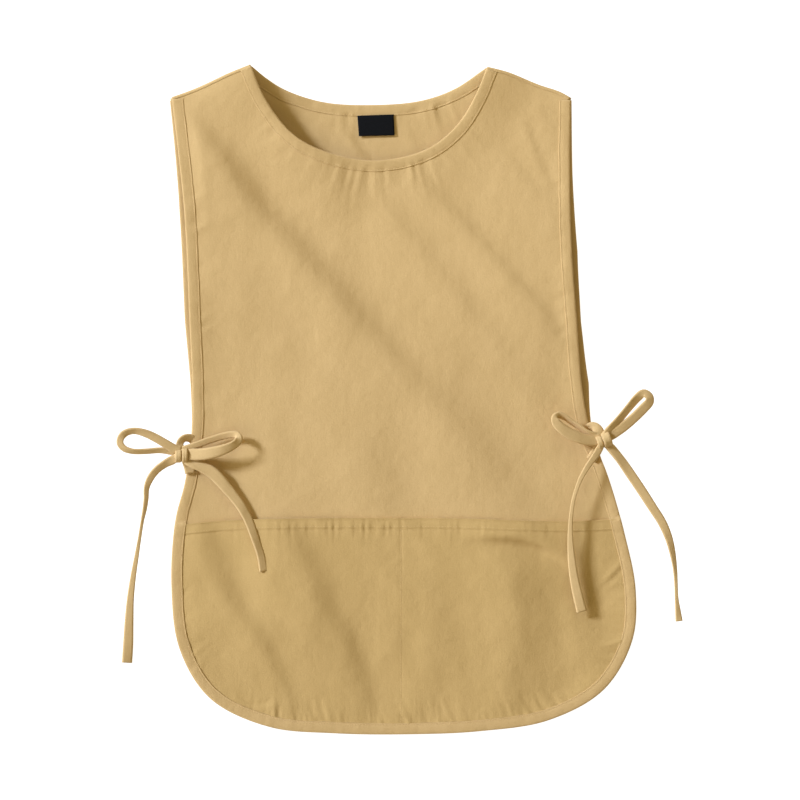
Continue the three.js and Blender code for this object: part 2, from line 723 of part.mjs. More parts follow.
// One section of a tape folded over an edge: at gives the point at a distance from the edge.
function tapeSection(at, edgeLow, edgeHigh, endLow, endHigh) {
  const bevel = tapeWall * 0.6;
  const point = (distance, height) => at(distance).clone().setZ(height);
  return [
    point(bindingWidth, endHigh + pieceGap + tapeWall),
    point(bevel, edgeHigh + pieceGap + tapeWall),
    point(0, edgeHigh + pieceGap),
    point(0, edgeLow - pieceGap),
    point(bevel, edgeLow - pieceGap - tapeWall),
    point(bindingWidth, endLow - pieceGap - tapeWall),
    point(bindingWidth, endLow - pieceGap),
    point(tapeWall, edgeLow - pieceGap),
    point(tapeWall, edgeHigh + pieceGap),
    point(bindingWidth, endHigh + pieceGap),
  ];
}

// A tape folded over the edge from ring point first to last, clear of the cloth between the
// heights low and high. It ends beside the shoulder's fold.
function bindingGeometry(panel, cells, first, last, low, high) {
  const { count, points } = cells;
  const rings = new Map([0, tapeWall * 0.6, tapeWall, bindingWidth].map((d) => [d, panel.inset(d)]));
  const between = (rule, i, j, point) => {
    const share = flatDistance(points[i], point) / flatDistance(points[i], points[j]);
    return THREE.MathUtils.lerp(rule(i), rule(j), share);
  };
  const ringSection = (i) =>
    tapeSection((d) => rings.get(d)[i], low(i), high(i), low(count + i), high(count + i));
  const cornerSections = (k, step) => {
    const [i, own, other] = [k, k + step, k - step].map((n) => (n + count) % count);
    const start = (d) => cornerPoint(panel.outer, i, step, d, tapeInset);
    const inner = (d) => cornerPoint(panel.outer, i, step, d, bindingWidth);
    const [startEnd, innerEdge] = [start(bindingWidth), inner(tapeInset)];
    return [
      tapeSection(
        start,
        low(i),
        high(i),
        between(low, i, other, startEnd),
        between(high, i, other, startEnd),
      ),
      tapeSection(
        inner,
        between(low, i, own, innerEdge),
        between(high, i, own, innerEdge),
        low(count + i),
        high(count + i),
      ),
    ];
  };
  const sections = cornerSections(first, 1);
  for (let k = first + 1; k < last; k++) sections.push(ringSection(k % count));
  sections.push(...cornerSections(last, -1).reverse());
  return stripGeometry(sections);
}

const frontHigh = over(frontLow, clothWall);
const backHigh = over(backLow, clothWall);
const pocketSet = new Set(pocketCells.flatMap(({ corners }) => corners));
const boundHigh = (i) => (pocketSet.has(i) ? pocketHigh(i) : frontHigh(i));
const edgeEnd = ({ rows, columns }) => 2 * rows + columns;
const neckStart = (panel) => edgeEnd(panel) + shoulderCells;

addPiece(
  "front_edge_binding",
  bindingGeometry(frontPlan, front, 0, edgeEnd(frontPlan), frontLow, boundHigh),
  "binding",
);
addPiece(
  "back_edge_binding",
  bindingGeometry(backPlan, back, 0, edgeEnd(backPlan), backLow, backHigh),
  "binding",
);
addPiece("front_neck_binding", neckBinding(frontPlan, front, frontLow, frontHigh), "binding");
addPiece("back_neck_binding", neckBinding(backPlan, back, backLow, backHigh), "binding");

function neckBinding(panel, cells, low, high) {
  const start = neckStart(panel);
  return bindingGeometry(panel, cells, start, start + neckCells, low, high);
}

// The shoulder's fold: a rounded wall from the back's underside to the front's upper face,
// over the cells that lie the given number of places after each panel's edge.
function shoulderGeometry(after) {
  const inner = backPlan.inset(tapeWall);
  const round = tapeWall * 0.6;
  const sections = [];
  for (let n = after; n <= after + shoulderCells; n++) {
    const i = (edgeEnd(backPlan) + n) % back.count;
    const low = backLow(i);
    const high = frontHigh((edgeEnd(frontPlan) + n) % front.count);
    sections.push([
      inner[i].clone().setZ(low),
      backPlan.outer[i].clone().setZ(low + round),
      backPlan.outer[i].clone().setZ(high - round),
      inner[i].clone().setZ(high),
    ]);
  }
  return stripGeometry(sections);
}

addPiece("right_shoulder_seam", shoulderGeometry(0), "cloth");
addPiece("left_shoulder_seam", shoulderGeometry(shoulderCells + neckCells), "cloth");

// The label lies flat over the back's bound edge, just below the neck binding.
const neckMiddle = backNeckRows.map(place).reduce((low, p) => (p.y < low.y ? p : low));
const labelTop = neckMiddle.y - bindingWidth - 2 * pieceGap;
const labelPlace = new THREE.Vector2(labelAcross * hemWidth, labelTop - labelHeight / 2);
const labelLow = backEdgeRise + clothWall + pieceGap;
addPiece(
  "neck_label",
  new THREE.BoxGeometry(labelWidth, labelHeight, labelWall).translate(
    labelPlace.x,
    labelPlace.y,
    labelLow + labelWall / 2,
  ),
  "label",
);

function isInside(outer, point) {
  let inside = false;
  outer.forEach((from, k) => {
    const to = outer[(k + 1) % outer.length];
    const crosses = from.y > point.y !== to.y > point.y;
    const x = from.x + ((point.y - from.y) / (to.y - from.y)) * (to.x - from.x);
    if (crosses && point.x < x) inside = !inside;
  });
  return inside;
}

// Height of the upper face of whatever lies at a place in the plan.
function coverTop(point) {
  const bound = pieceGap + tapeWall;
  if (isInside(frontPlan.outer, point)) {
    const isPocket = point.y < place(pocketTopRows[3]).y;
    const pocket = isPocket ? 2 * pieceGap + clothWall + pocketHemExtra + pouchRise : 0;
    return frontUnder(point) + clothWall + bound + pocket;
  }
  return isInside(backPlan.outer, point) ? backUnder(point) + clothWall + bound : 0;
}

function knotGeometry({ across, down, turn }, height, grow) {
  const geometry = new THREE.SphereGeometry(0.5, 16, 10);
  const point = new THREE.Vector3();
  const position = geometry.attributes.position;
  for (let i = 0; i < position.count; i++) {
    point.fromBufferAttribute(position, i);
    const wrap = 1 + 0.07 * Math.cos(4 * Math.PI * point.x * 1.6);
    const y = point.y * wrap;
    const z = point.z * wrap;
    position.setXYZ(i, point.x, y, z);
  }
  geometry.scale(knotLength + 2 * grow, knotWidth + 2 * grow, knotHeight + 2 * grow);
  geometry.rotateZ(THREE.MathUtils.degToRad(turn));
  const middle = place({ across, down });
  geometry.translate(middle.x, middle.y, height);
  return welded(geometry);
}

// The same surface with one vertex per place, for cutting.
function welded(geometry) {
  const seen = new Map();
  const position = [];
  const source = geometry.attributes.position;
  const numbers = Array.from({ length: source.count }, (_, i) => {
    const place3 = [source.getX(i), source.getY(i), source.getZ(i)];
    const key = place3.map((value) => value.toFixed(4)).join();
    if (!seen.has(key)) seen.set(key, position.push(...place3) / 3 - 1);
    return seen.get(key);
  });
  const index = [];
  const { array } = geometry.index;
  for (let i = 0; i < array.length; i += 3) {
    const [a, b, c] = [numbers[array[i]], numbers[array[i + 1]], numbers[array[i + 2]]];
    if (a !== b && b !== c && c !== a) index.push(a, b, c);
  }
  return indexed(position, index);
}

function tapeGeometry(rows, middle) {
  const points = rows.map((row) => {
    const point = place(row);
    return point.clone().setZ(coverTop(point) + row.lift * bowRise);
  });
  const curve = curveThrough(points);
  const spans = rows.length - 1;
  const steps = spans * 2;
  const sections = [];
  for (let s = 0; s <= steps; s++) {
    const at = curve.getPoint(s / steps);
    const tangent = curve.getTangent(s / steps);
    const span = Math.min(Math.floor((s / steps) * spans), spans - 1);
    const share = (s / steps) * spans - span;
    const roll = THREE.MathUtils.lerp(rows[span].roll, rows[span + 1].roll, share);
    const flat = new THREE.Vector3(-tangent.y, tangent.x, 0).normalize();
    const across = flat.applyAxisAngle(tangent, THREE.MathUtils.degToRad(roll));
    const normal = across.clone().cross(tangent).normalize();
    const gathered = smooth(0, 1.2 * knotLength, flatDistance(at, middle));
    const half = (tieWidth / 2) * (0.5 + 0.5 * gathered);
    const corner = (a, b) =>
      at
        .clone()
        .addScaledVector(across, a * half)
        .addScaledVector(normal, (b * tieWall) / 2);
    sections.push([corner(-1, -1), corner(1, -1), corner(1, 1), corner(-1, 1)]);
  }
  return stripGeometry(sections);
}

Object.entries(knots).forEach(([side, knot]) => {
  const middle = place(knot);
  const height = coverTop(middle) + knot.lift * bowRise;
  addPiece(side + "_knot", knotGeometry(knot, height, 0), "tie");
  const clear = knotGeometry(knot, height, pieceGap);
  Object.entries(tieTables)
    .filter(([name]) => name.startsWith(side))
    .forEach(([name, rows]) => {
      addPiece(name, cut(tapeGeometry(rows, middle), clear), "tie");
    });
});

export default apron;
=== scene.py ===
import math

import bmesh
import bpy
import numpy as np
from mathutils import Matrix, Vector


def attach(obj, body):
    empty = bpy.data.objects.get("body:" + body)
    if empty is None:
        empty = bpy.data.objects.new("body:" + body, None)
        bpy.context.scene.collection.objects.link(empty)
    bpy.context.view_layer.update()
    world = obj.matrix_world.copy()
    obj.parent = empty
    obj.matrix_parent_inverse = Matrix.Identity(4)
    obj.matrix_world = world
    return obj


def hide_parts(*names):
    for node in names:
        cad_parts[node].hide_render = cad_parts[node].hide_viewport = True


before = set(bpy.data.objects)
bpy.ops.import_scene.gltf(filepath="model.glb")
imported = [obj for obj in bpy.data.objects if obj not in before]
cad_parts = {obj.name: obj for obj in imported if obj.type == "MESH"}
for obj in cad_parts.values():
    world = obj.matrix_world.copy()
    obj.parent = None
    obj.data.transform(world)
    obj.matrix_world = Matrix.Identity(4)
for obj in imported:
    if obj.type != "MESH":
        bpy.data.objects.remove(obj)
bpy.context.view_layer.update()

scene = bpy.context.scene
mm = 0.001

# The apron lies on its back, hem towards -Y. Sizes are in millimetres until a mesh is made.
# Places in the plan are squares of a cutting board, counted right and down from its corner.
boardSquare = 1.06437
boardMiddle = (400.0, 399.0)

body = {
    "length": 711.0,        # neck points to hem
    "hemWidth": 496.0,
    "hemCorner": 0.945,     # share of the length at which the sides turn into the hem
    "cloth": 0.7,
    "bindingWidth": 12.0,
    "frontEdgeRise": 5.8,   # the front's underside along its bound edge
    "backEdgeRise": 1.4,
    "backRise": 0.6,        # the back's underside where it lies on the floor
    "backSettle": 40.0,     # how far from its edge it comes to lie there
    "swellRise": 9.0,
    "crownRise": 5.5,       # how far the middle of the front stands above its edges
    "crownReach": 170.0,
    "foldReach": 26.0,      # folds die out this near to a bound edge
}

# The front's edge from the left shoulder down, round the hem and up again: share of the hem
# width from the centre, share of the length from the neck points, and how far the back's edge
# shows beyond it as a share of the binding's width.
edgeRows = [
    (-0.4903, 0.0479, 0.22), (-0.4742, 0.1422, 0.34), (-0.4624, 0.226, 0.48),
    (-0.4521, 0.3817, 0.46), (-0.4464, 0.479, 0.18), (-0.4474, 0.5464, 0.05),
    (-0.4624, 0.6243, -0.09), (-0.4828, 0.6811, -0.09), (-0.4914, 0.7784, -0.09),
    (-0.4732, 0.8757, -0.09), (-0.4077, 0.9491, -0.09), (-0.2833, 0.991, -0.09),
    (-0.1395, 1.001, -0.09), (0.0215, 1.0024, -0.09), (0.1717, 0.9978, -0.09),
    (0.3197, 0.9813, -0.09), (0.4378, 0.9356, -0.09), (0.4989, 0.8623, -0.09),
    (0.5064, 0.7859, -0.09), (0.4828, 0.7021, -0.09), (0.4485, 0.6183, -0.09),
    (0.4077, 0.5434, 0.22), (0.3906, 0.4775, 0.66), (0.3798, 0.3847, 0.41),
    (0.3687, 0.2769, 0.55), (0.3648, 0.1662, 0.28), (0.367, 0.0479, 0.09),
]
frontNeckRows = [
    (-0.3204, 0), (-0.2876, 0.0524), (-0.2275, 0.1048), (-0.1545, 0.131), (-0.0536, 0.1427),
    (0.0528, 0.1269), (0.118, 0.0928), (0.1588, 0.0494), (0.1873, 0.0022),
]
backNeckRows = [
    (-0.3204, 0), (-0.2833, 0.021), (-0.2446, 0.037), (-0.1609, 0.0546), (-0.0601, 0.0584),
    (0.0429, 0.0524), (0.118, 0.0344), (0.1873, 0.0022),
]
leftShoulderRows = [
    (-0.4903, 0.0479), (-0.4506, 0.0382), (-0.4185, 0.0292), (-0.3691, 0.0135), (-0.3204, 0),
]
rightShoulderRows = [
    (0.1873, 0.0022), (0.2339, 0.0105), (0.2983, 0.0284), (0.3433, 0.0389), (0.367, 0.0479),
]
pocketTopRows = [
    (-0.4828, 0.6868), (-0.3734, 0.6796), (-0.2361, 0.6766), (0, 0.6759), (0.1416, 0.6766),
    (0.3562, 0.6811), (0.476, 0.6781),
]
# Where the cloth stands up: share across, share down, reach, height.
neckPeaks = [(-0.3204, 0, 0.115, 0.8), (0.1873, 0, 0.09, 0.5)]
edgeSwells = [
    (-0.2747, 0.0644, 0.15, 1.1), (-0.176, 0.1272, 0.13, 0.65), (0.1588, 0.0494, 0.09, 0.3),
    (-0.5, 0.09, 0.22, 0.65), (-0.47, 0.32, 0.22, 0.5), (0.371, 0.32, 0.24, 0.7),
]


def onBoard(points):
    points = np.asarray(points, float)
    x = (points[..., 0] - boardMiddle[0]) * boardSquare
    y = (boardMiddle[1] - points[..., 1]) * boardSquare
    return np.stack([x, y], -1)


def place(rows):
    rows = np.asarray([row[:2] for row in rows], float)
    x = rows[:, 0] * body["hemWidth"]
    y = (0.5 - rows[:, 1]) * body["length"]
    return np.stack([x, y], -1)


def ramp(low, high, value):
    share = np.clip((value - low) / (high - low), 0, 1)
    return share * share * (3 - 2 * share)


# A smooth line through points, with the same number of steps between each two.
def lineThrough(points, steps=10):
    points = np.asarray(points, float)
    ends = np.vstack([2 * points[0] - points[1], points, 2 * points[-1] - points[-2]])
    gaps = np.sqrt(np.linalg.norm(np.diff(ends, axis=0), axis=1))
    t = np.linspace(0, 1, steps, endpoint=False)[:, None]
    pieces = []
    for i in range(len(points) - 1):
        p0, p1, p2, p3 = ends[i:i + 4]
        g0, g1, g2 = gaps[i:i + 3]
        m1 = ((p1 - p0) / g0 - (p2 - p0) / (g0 + g1) + (p2 - p1) / g1) * g1
        m2 = ((p2 - p1) / g1 - (p3 - p1) / (g1 + g2) + (p3 - p2) / g2) * g1
        pieces.append(
            p1 * (2 * t**3 - 3 * t**2 + 1) + m1 * (t**3 - 2 * t**2 + t)
            + p2 * (3 * t**2 - 2 * t**3) + m2 * (t**3 - t**2)
        )
    pieces.append(points[-1:])
    return np.vstack(pieces)


def lengthsAlong(line):
    return np.concatenate([[0], np.cumsum(np.linalg.norm(np.diff(line, axis=0), axis=1))])


def pointsAt(line, distances):
    along = lengthsAlong(line)
    return np.stack([np.interp(distances, along, line[:, k]) for k in range(line.shape[1])], -1)


def spaced(line, start, end, count):
    total = lengthsAlong(line)[-1]
    return pointsAt(line, np.linspace(start, end, count + 1) * total)


def partOf(line, start, end, step=2.2):
    total = lengthsAlong(line)[-1]
    return spaced(line, start, end, max(2, round((end - start) * total / step)))


# Distance from a line to each point, on which side it lies (+1 to the line's left), and how
# far along the line its nearest point is.
def measureFrom(line, places):
    flat = places.reshape(-1, 2)
    best = np.full(len(flat), np.inf)
    side = np.zeros(len(flat))
    along = np.zeros(len(flat))
    before = lengthsAlong(line)
    for k, run in enumerate(np.diff(line, axis=0)):
        length = math.hypot(*run)
        if length < 1e-9:
            continue
        offset = flat - line[k]
        share = np.clip(offset @ run / length**2, 0, 1)
        gap = offset - share[:, None] * run
        distance = np.hypot(gap[:, 0], gap[:, 1])
        closer = distance < best
        best[closer] = distance[closer]
        side[closer] = np.sign(run[0] * offset[:, 1] - run[1] * offset[:, 0])[closer]
        along[closer] = (before[k] + share * length)[closer]
    shape = places.shape[:-1]
    return best.reshape(shape), side.reshape(shape), along.reshape(shape)


def swells(rows, places):
    total = np.zeros(places.shape[:-1])
    for (across, down, reach, rise), middle in zip(rows, place(rows)):
        away = np.linalg.norm(places - middle, axis=-1) / (reach * body["length"])
        total += np.where(away < 1, rise * body["swellRise"] * (1 - away**2) ** 2, 0)
    return total


# For each run of a line in the plan, the way square to its left.
def turnedLeft(run):
    run = run / np.linalg.norm(run, axis=1)[:, None]
    return np.stack([-run[:, 1], run[:, 0]], -1)


def leftOf(line):
    return turnedLeft(np.gradient(line, axis=0))


def movedAside(line, distance):
    return line + leftOf(line) * np.asarray(distance)[..., None]


def levelOn(line, level, fromEnd):
    total = lengthsAlong(line)[-1]
    shares = np.linspace(1, 0, 2001) if fromEnd else np.linspace(0, 1, 2001)
    heights = pointsAt(line, shares * total)[:, 1]
    return shares[np.argmax(heights <= level)]


lineSteps = 12   # between each two points of a line
frontEdge, frontNeck, backNeck, leftShoulder, rightShoulder, pocketLine = [
    lineThrough(place(rows), lineSteps) for rows in (
        edgeRows, frontNeckRows, backNeckRows, leftShoulderRows, rightShoulderRows,
        pocketTopRows)]
peeks = np.array([row[2] for row in edgeRows]) * body["bindingWidth"]
edgePeek = np.interp(np.arange(len(frontEdge)) / lineSteps, np.arange(len(peeks)), peeks)
backEdge = movedAside(frontEdge, -edgePeek)
cornerLevel = (0.5 - body["hemCorner"]) * body["length"]
pocketLevels = (place(pocketTopRows)[0][1], place(pocketTopRows)[-1][1])


def fitEnds(line, first, last):
    share = (lengthsAlong(line) / lengthsAlong(line)[-1])[:, None]
    return line + (first - line[0]) * (1 - share) + (last - line[-1]) * share


# The points of a patch between four lines that meet at its corners.
def fillPatch(top, bottom, left, right):
    u = np.linspace(0, 1, len(top))[None, :, None]
    vLeft = (lengthsAlong(left) / lengthsAlong(left)[-1])[:, None, None]
    vRight = (lengthsAlong(right) / lengthsAlong(right)[-1])[:, None, None]
    v = vLeft * (1 - u) + vRight * u
    ruled = top[None] * (1 - v) + bottom[None] * v
    across = left[:, None] * (1 - u) + right[:, None] * u
    corners = (top[0] * (1 - v) + bottom[0] * v) * (1 - u)
    corners = corners + (top[-1] * (1 - v) + bottom[-1] * v) * u
    return ruled + across - corners


# Moves a closed ring of points inwards: one distance for each point, corners mitred.
def insetRing(ring, distance):
    before = np.roll(ring, 1, axis=0)
    after = np.roll(ring, -1, axis=0)
    first, second = turnedLeft(ring - before), turnedLeft(after - ring)
    mitre = (first + second) / (1 + np.sum(first * second, axis=1))[:, None]
    return ring + mitre * np.asarray(distance)[..., None]


# Makes the inset small beside a corner, so that the two sides there never cross.
def nearCorners(ring, distance, corners):
    away = np.min([np.linalg.norm(ring - ring[n], axis=1) for n in corners], axis=0)
    return np.minimum(distance, 0.3 + 0.3 * away)


# The grid of a panel, from its top line down to the pocket line and on to the hem.
def panelGrid(edge, neck, columns, sideRows, skirtRows, inset, shoulderInset):
    lengths = [lengthsAlong(line)[-1] for line in (leftShoulder, neck, rightShoulder)]
    shoulderCells = round(columns * lengths[0] / sum(lengths))
    rightCells = round(columns * lengths[2] / sum(lengths))
    neckCells = columns - shoulderCells - rightCells
    shoulderLeft = fitEnds(leftShoulder, edge[0], neck[0])
    shoulderRight = fitEnds(rightShoulder, neck[-1], edge[-1])
    top = np.vstack([
        spaced(shoulderLeft, 0, 1, shoulderCells),
        spaced(neck, 0, 1, neckCells)[1:],
        spaced(shoulderRight, 0, 1, rightCells)[1:],
    ])
    pocketLeft = levelOn(edge, pocketLevels[0], False)
    pocketRight = levelOn(edge, pocketLevels[1], True)
    cornerLeft = levelOn(edge, cornerLevel, False)
    cornerRight = levelOn(edge, cornerLevel, True)
    left = np.vstack([
        spaced(edge, 0, pocketLeft, sideRows),
        spaced(edge, pocketLeft, cornerLeft, skirtRows)[1:],
    ])
    right = np.vstack([
        spaced(edge, 1, pocketRight, sideRows),
        spaced(edge, pocketRight, cornerRight, skirtRows)[1:],
    ])
    hem = spaced(edge, cornerLeft, cornerRight, columns)
    rows = sideRows + skirtRows
    ring = np.vstack([left, hem[1:-1], right[::-1], top[1:-1][::-1]])
    distance = np.full(len(ring), inset)
    count = len(ring)
    # Along the shoulders there is no binding, so the cloth goes on to the fold.
    topNumbers = [(count - i) % count for i in range(columns + 1)]
    onShoulder = list(range(shoulderCells + 1)) + list(range(columns - rightCells, columns + 1))
    distance[[topNumbers[i] for i in onShoulder]] = shoulderInset
    corners = [0, topNumbers[shoulderCells], topNumbers[columns - rightCells],
               topNumbers[columns]]
    ring = insetRing(ring, nearCorners(ring, distance, corners))
    left = ring[: rows + 1]
    hem = ring[rows : rows + columns + 1]
    right = ring[rows + columns : 2 * rows + columns + 1][::-1]
    top = ring[topNumbers]
    pocket = fitEnds(spaced(pocketLine, 0, 1, columns), left[sideRows], right[sideRows])
    upper = fillPatch(top, pocket, left[: sideRows + 1], right[: sideRows + 1])
    lower = fillPatch(pocket, hem, left[sideRows:], right[sideRows:])
    return np.vstack([upper, lower[1:]])


# Each fold is a line on the board: a soft rise up to it from below left and a short steep
# face beyond it. Columns: x, y, drop of the face, half width of the face. Reach: how far the
# fold is felt before its line and beyond it.
frontFolds = [
    {"reach": (48, 92), "rows": [
        (184, 106, 0, 8), (198, 122, 3.4, 9), (212, 139, 7.4, 11), (226, 155, 10.4, 13),
        (255, 194, 12.0, 13.5), (300, 245, 10.6, 13.5), (350, 300, 8.6, 14),
        (390, 345, 7.0, 14), (430, 390, 5.2, 14), (470, 430, 4.0, 16), (505, 468, 3.2, 17),
        (530, 495, 2.6, 17), (548, 514, 1.4, 17), (562, 530, 0, 17)]},
    {"reach": (34, 30), "rows": [
        (398, 150, 0, 6), (420, 175, 1.8, 7.5), (454, 209, 3.2, 8), (480, 236, 3.4, 8),
        (500, 260, 3.2, 8), (525, 288, 3.2, 8), (546, 312, 2.6, 7.5), (562, 332, 1.4, 7),
        (576, 350, 0, 7)]},
    {"reach": (40, 34), "rows": [
        (372, 180, 0, 9), (400, 217, 2.0, 10), (428, 251, 2.6, 10), (454, 283, 2.7, 10),
        (482, 318, 2.6, 11), (512, 354, 2.1, 13), (545, 392, 1.4, 14), (570, 420, 0, 14)]},
    {"reach": (13, 12), "rows": [
        (522, 114, 0, 4), (530, 130, 0.9, 4.5), (537, 150, 1.3, 5), (545, 170, 1.1, 5),
        (553, 188, 0.6, 5), (560, 205, 0, 4)]},
    {"reach": (18, 16), "rows": [
        (496, 134, 0, 6), (512, 158, 0.8, 7), (533, 184, 0.9, 7), (554, 212, 0, 6)]},
    {"reach": (44, 48), "rows": [
        (206, 200, 0, 14), (236, 256, 1.0, 15), (280, 320, 1.3, 16), (330, 385, 1.4, 16),
        (368, 432, 1.4, 14), (396, 484, 0.9, 13), (412, 514, 0, 12)]},
]
backFolds = [
    {"reach": (12, 14), "rows": [
        (345, 124, 0, 3), (352, 136, 1.8, 3.6), (360, 148, 2.4, 4), (369, 160, 2.0, 4.4),
        (378, 172, 0, 4.4)]},
    {"reach": (16, 18), "rows": [
        (404, 120, 0, 5), (412, 134, 1.0, 5), (424, 150, 1.2, 5), (436, 166, 0, 5)]},
]
pocketFolds = [
    {"reach": (52, 60), "rows": [
        (283, 502, 0, 9), (292, 522, 2.4, 10), (299, 540, 4.6, 12), (316, 573, 6.2, 13),
        (331, 603, 6.6, 13), (346, 629, 5.8, 12.5), (358, 660, 4.8, 12), (368, 690, 3.2, 12),
        (380, 722, 0, 10)]},
    {"reach": (40, 40), "rows": [
        (202, 512, 0, 9), (211, 534, 2.9, 11), (221, 564, 4.6, 13), (236, 598, 5.2, 13),
        (256, 627, 4.6, 11.5), (270, 653, 4.4, 11), (285, 683, 3.6, 11), (298, 709, 2.0, 10),
        (305, 728, 0, 8)]},
    {"reach": (13, 20), "rows": [
        (462, 538, 0, 4), (488, 539, -4.4, 4.4), (518, 541, -7.6, 4.4), (545, 549, -7.4, 4.4),
        (562, 558, -4.4, 4.6), (578, 570, 0, 5)]},
    {"reach": (56, 46), "flat": True, "rows": [
        (532, 560, 0, 22), (535, 595, 3.6, 26), (538, 630, 5.2, 27), (538, 660, 5.2, 27),
        (537, 690, 3.8, 26), (536, 716, 0, 22)]},
    {"reach": (7, 6), "rows": [
        (234, 692, 0, 2.6), (242, 701, 1.2, 2.6), (253, 707, 1.8, 2.6), (266, 706, 1.5, 2.6),
        (278, 698, 0, 2.6)]},
]


def foldHeights(table, places):
    total = np.zeros(places.shape[:-1])
    for fold in table:
        rows = np.asarray(fold["rows"], float)
        line = lineThrough(onBoard(rows[:, :2]), 4)
        distance, side, along = measureFrom(line, places)
        at = lengthsAlong(line)[::4]
        drop = np.interp(along, at, rows[:, 2])
        face = np.interp(along, at, rows[:, 3])
        away = distance * side
        reach = np.where(away > 0, fold["reach"][1], fold["reach"][0])
        share = away / face
        if fold.get("flat"):
            step = (np.hypot(share + 1, 0.3) - np.hypot(share - 1, 0.3)) / 2
        else:
            step = np.tanh(share)
        total -= 0.5 * drop * step * np.exp(-((away / reach) ** 2))
    return total


# A run of smooth random heights between -1 and 1, one new value for each whole number.
def wave(position, seed):
    values = np.random.default_rng(seed).uniform(-1, 1, 4096)
    low = np.floor(position).astype(int)
    share = position - low
    share = share * share * (3 - 2 * share)
    return values[low % 4096] * (1 - share) + values[(low + 1) % 4096] * share


# Puckers that a seam draws in the cloth beside it. Spots: x, y, radius, height.
def puckers(line, places, seed, spots, pitch=4.2, start=11.0, reach=16.0, lean=0.0):
    distance, side, along = measureFrom(line, places)
    beyond = np.maximum(distance - start, 0)
    height = np.zeros(places.shape[:-1])
    for (x, y, radius, rise), middle in zip(spots, onBoard([spot[:2] for spot in spots])):
        away = np.linalg.norm(places - middle, axis=-1) / (radius * boardSquare)
        height += rise * np.exp(-(away**2))
    slow = 1 + 0.5 * wave(along / (pitch * 5) + 7, seed + 1)
    shape = wave((along + lean * beyond) / pitch, seed) + 0.35 * wave(along / pitch * 1.9, seed + 2)
    return height * slow * shape * np.exp(-beyond / reach) * ramp(start - 7, start, distance)


def frontPuckers(places):
    neckSpots = [(345, 186, 24, 0.75), (385, 184, 26, 0.65), (425, 172, 26, 0.5),
                 (305, 164, 24, 0.6), (462, 150, 26, 0.45), (272, 132, 20, 0.3)]
    leftSpots = [(196, 200, 18, 0.4), (200, 232, 20, 0.6), (203, 270, 24, 0.65),
                 (206, 318, 24, 0.5), (210, 400, 40, 0.25)]
    rightSpots = [(552, 190, 20, 0.4), (556, 240, 26, 0.4), (558, 300, 30, 0.35),
                  (560, 370, 40, 0.2)]
    total = puckers(frontNeck, places, 11, neckSpots, 4.4, 11, 22, 0.1)
    total += puckers(frontNeck, places, 16, neckSpots, 9.0, 11, 34, -0.1) * 0.7
    total += puckers(frontEdge, places, 21, leftSpots, 8.0, 12, 13, 0.6)
    total += puckers(frontEdge, places, 31, rightSpots, 9.0, 12, 13, 0.5)
    return total


def pocketPuckers(places):
    bandLine = movedAside(pocketLine, -12.0)
    bandSpots = [(300, 532, 26, 0.5), (335, 532, 26, 0.5), (375, 530, 22, 0.3),
                 (430, 530, 30, 0.25), (480, 530, 26, 0.35), (530, 531, 26, 0.3),
                 (230, 532, 30, 0.2), (580, 532, 20, 0.2)]
    hemSpots = [(262, 704, 26, 0.45), (305, 708, 26, 0.6), (345, 708, 26, 0.6),
                (385, 708, 26, 0.5), (440, 706, 34, 0.5), (500, 704, 30, 0.4),
                (540, 702, 24, 0.45), (600, 660, 40, 0.3), (205, 650, 34, 0.3)]
    cornerSpots = [(610, 570, 22, 0.6), (612, 610, 26, 0.7), (606, 650, 26, 0.5),
                   (190, 600, 26, 0.35)]
    dividerSpots = [(400, 540, 22, 0.3), (400, 620, 40, 0.15), (400, 690, 34, 0.2)]
    divider = onBoard([(pocket["divider"], y) for y in (516, 624, 736)])
    total = puckers(bandLine, places, 41, bandSpots, 3.6, 0.5, 7)
    total += puckers(frontEdge, places, 51, hemSpots, 5.2, 12, 17, 0.35)
    total += puckers(frontEdge, places, 56, hemSpots, 2.9, 12, 8) * 0.4
    total += puckers(frontEdge, places, 61, cornerSpots, 7.0, 12, 20, 0.8)
    total += puckers(divider, places, 71, dividerSpots, 6.0, 0.8, 9)
    return total


# Low wide undulation, so that no area lies dead flat.
def undulation(places, seed, rise):
    x, y = places[..., 0], places[..., 1]
    random = np.random.default_rng(seed)
    total = np.zeros(x.shape)
    for _ in range(22):
        angle = random.uniform(-0.2, 1.5)
        length = random.uniform(26, 130)
        phase = random.uniform(0, 6.28)
        across = x * math.cos(angle) + y * math.sin(angle)
        bend = 12 * np.sin((x * math.sin(angle) - y * math.cos(angle)) / random.uniform(40, 90))
        total += length / 80 * np.sin((across + bend) * 6.28 / length + phase)
    return rise * total / 5


def frontUnder(places, detail=True):
    toEdge = measureFrom(frontEdge[::2], places)[0]
    toShoulder = np.minimum(
        measureFrom(leftShoulder[::4], places)[0], measureFrom(rightShoulder[::4], places)[0]
    )
    edge, reach = body["bindingWidth"], body["crownReach"]
    pinned = ramp(edge, reach, toEdge) * ramp(edge, reach, toShoulder)
    near = ramp(4, body["foldReach"], toEdge) * ramp(2, body["foldReach"], toShoulder)
    height = body["frontEdgeRise"] + swells(neckPeaks, places) + swells(edgeSwells, places)
    height += pinned * body["crownRise"]
    height += near * foldHeights(frontFolds + pocketFolds, places)
    if detail:
        height += frontPuckers(places) + near * undulation(places, 3, 0.5)
    return height


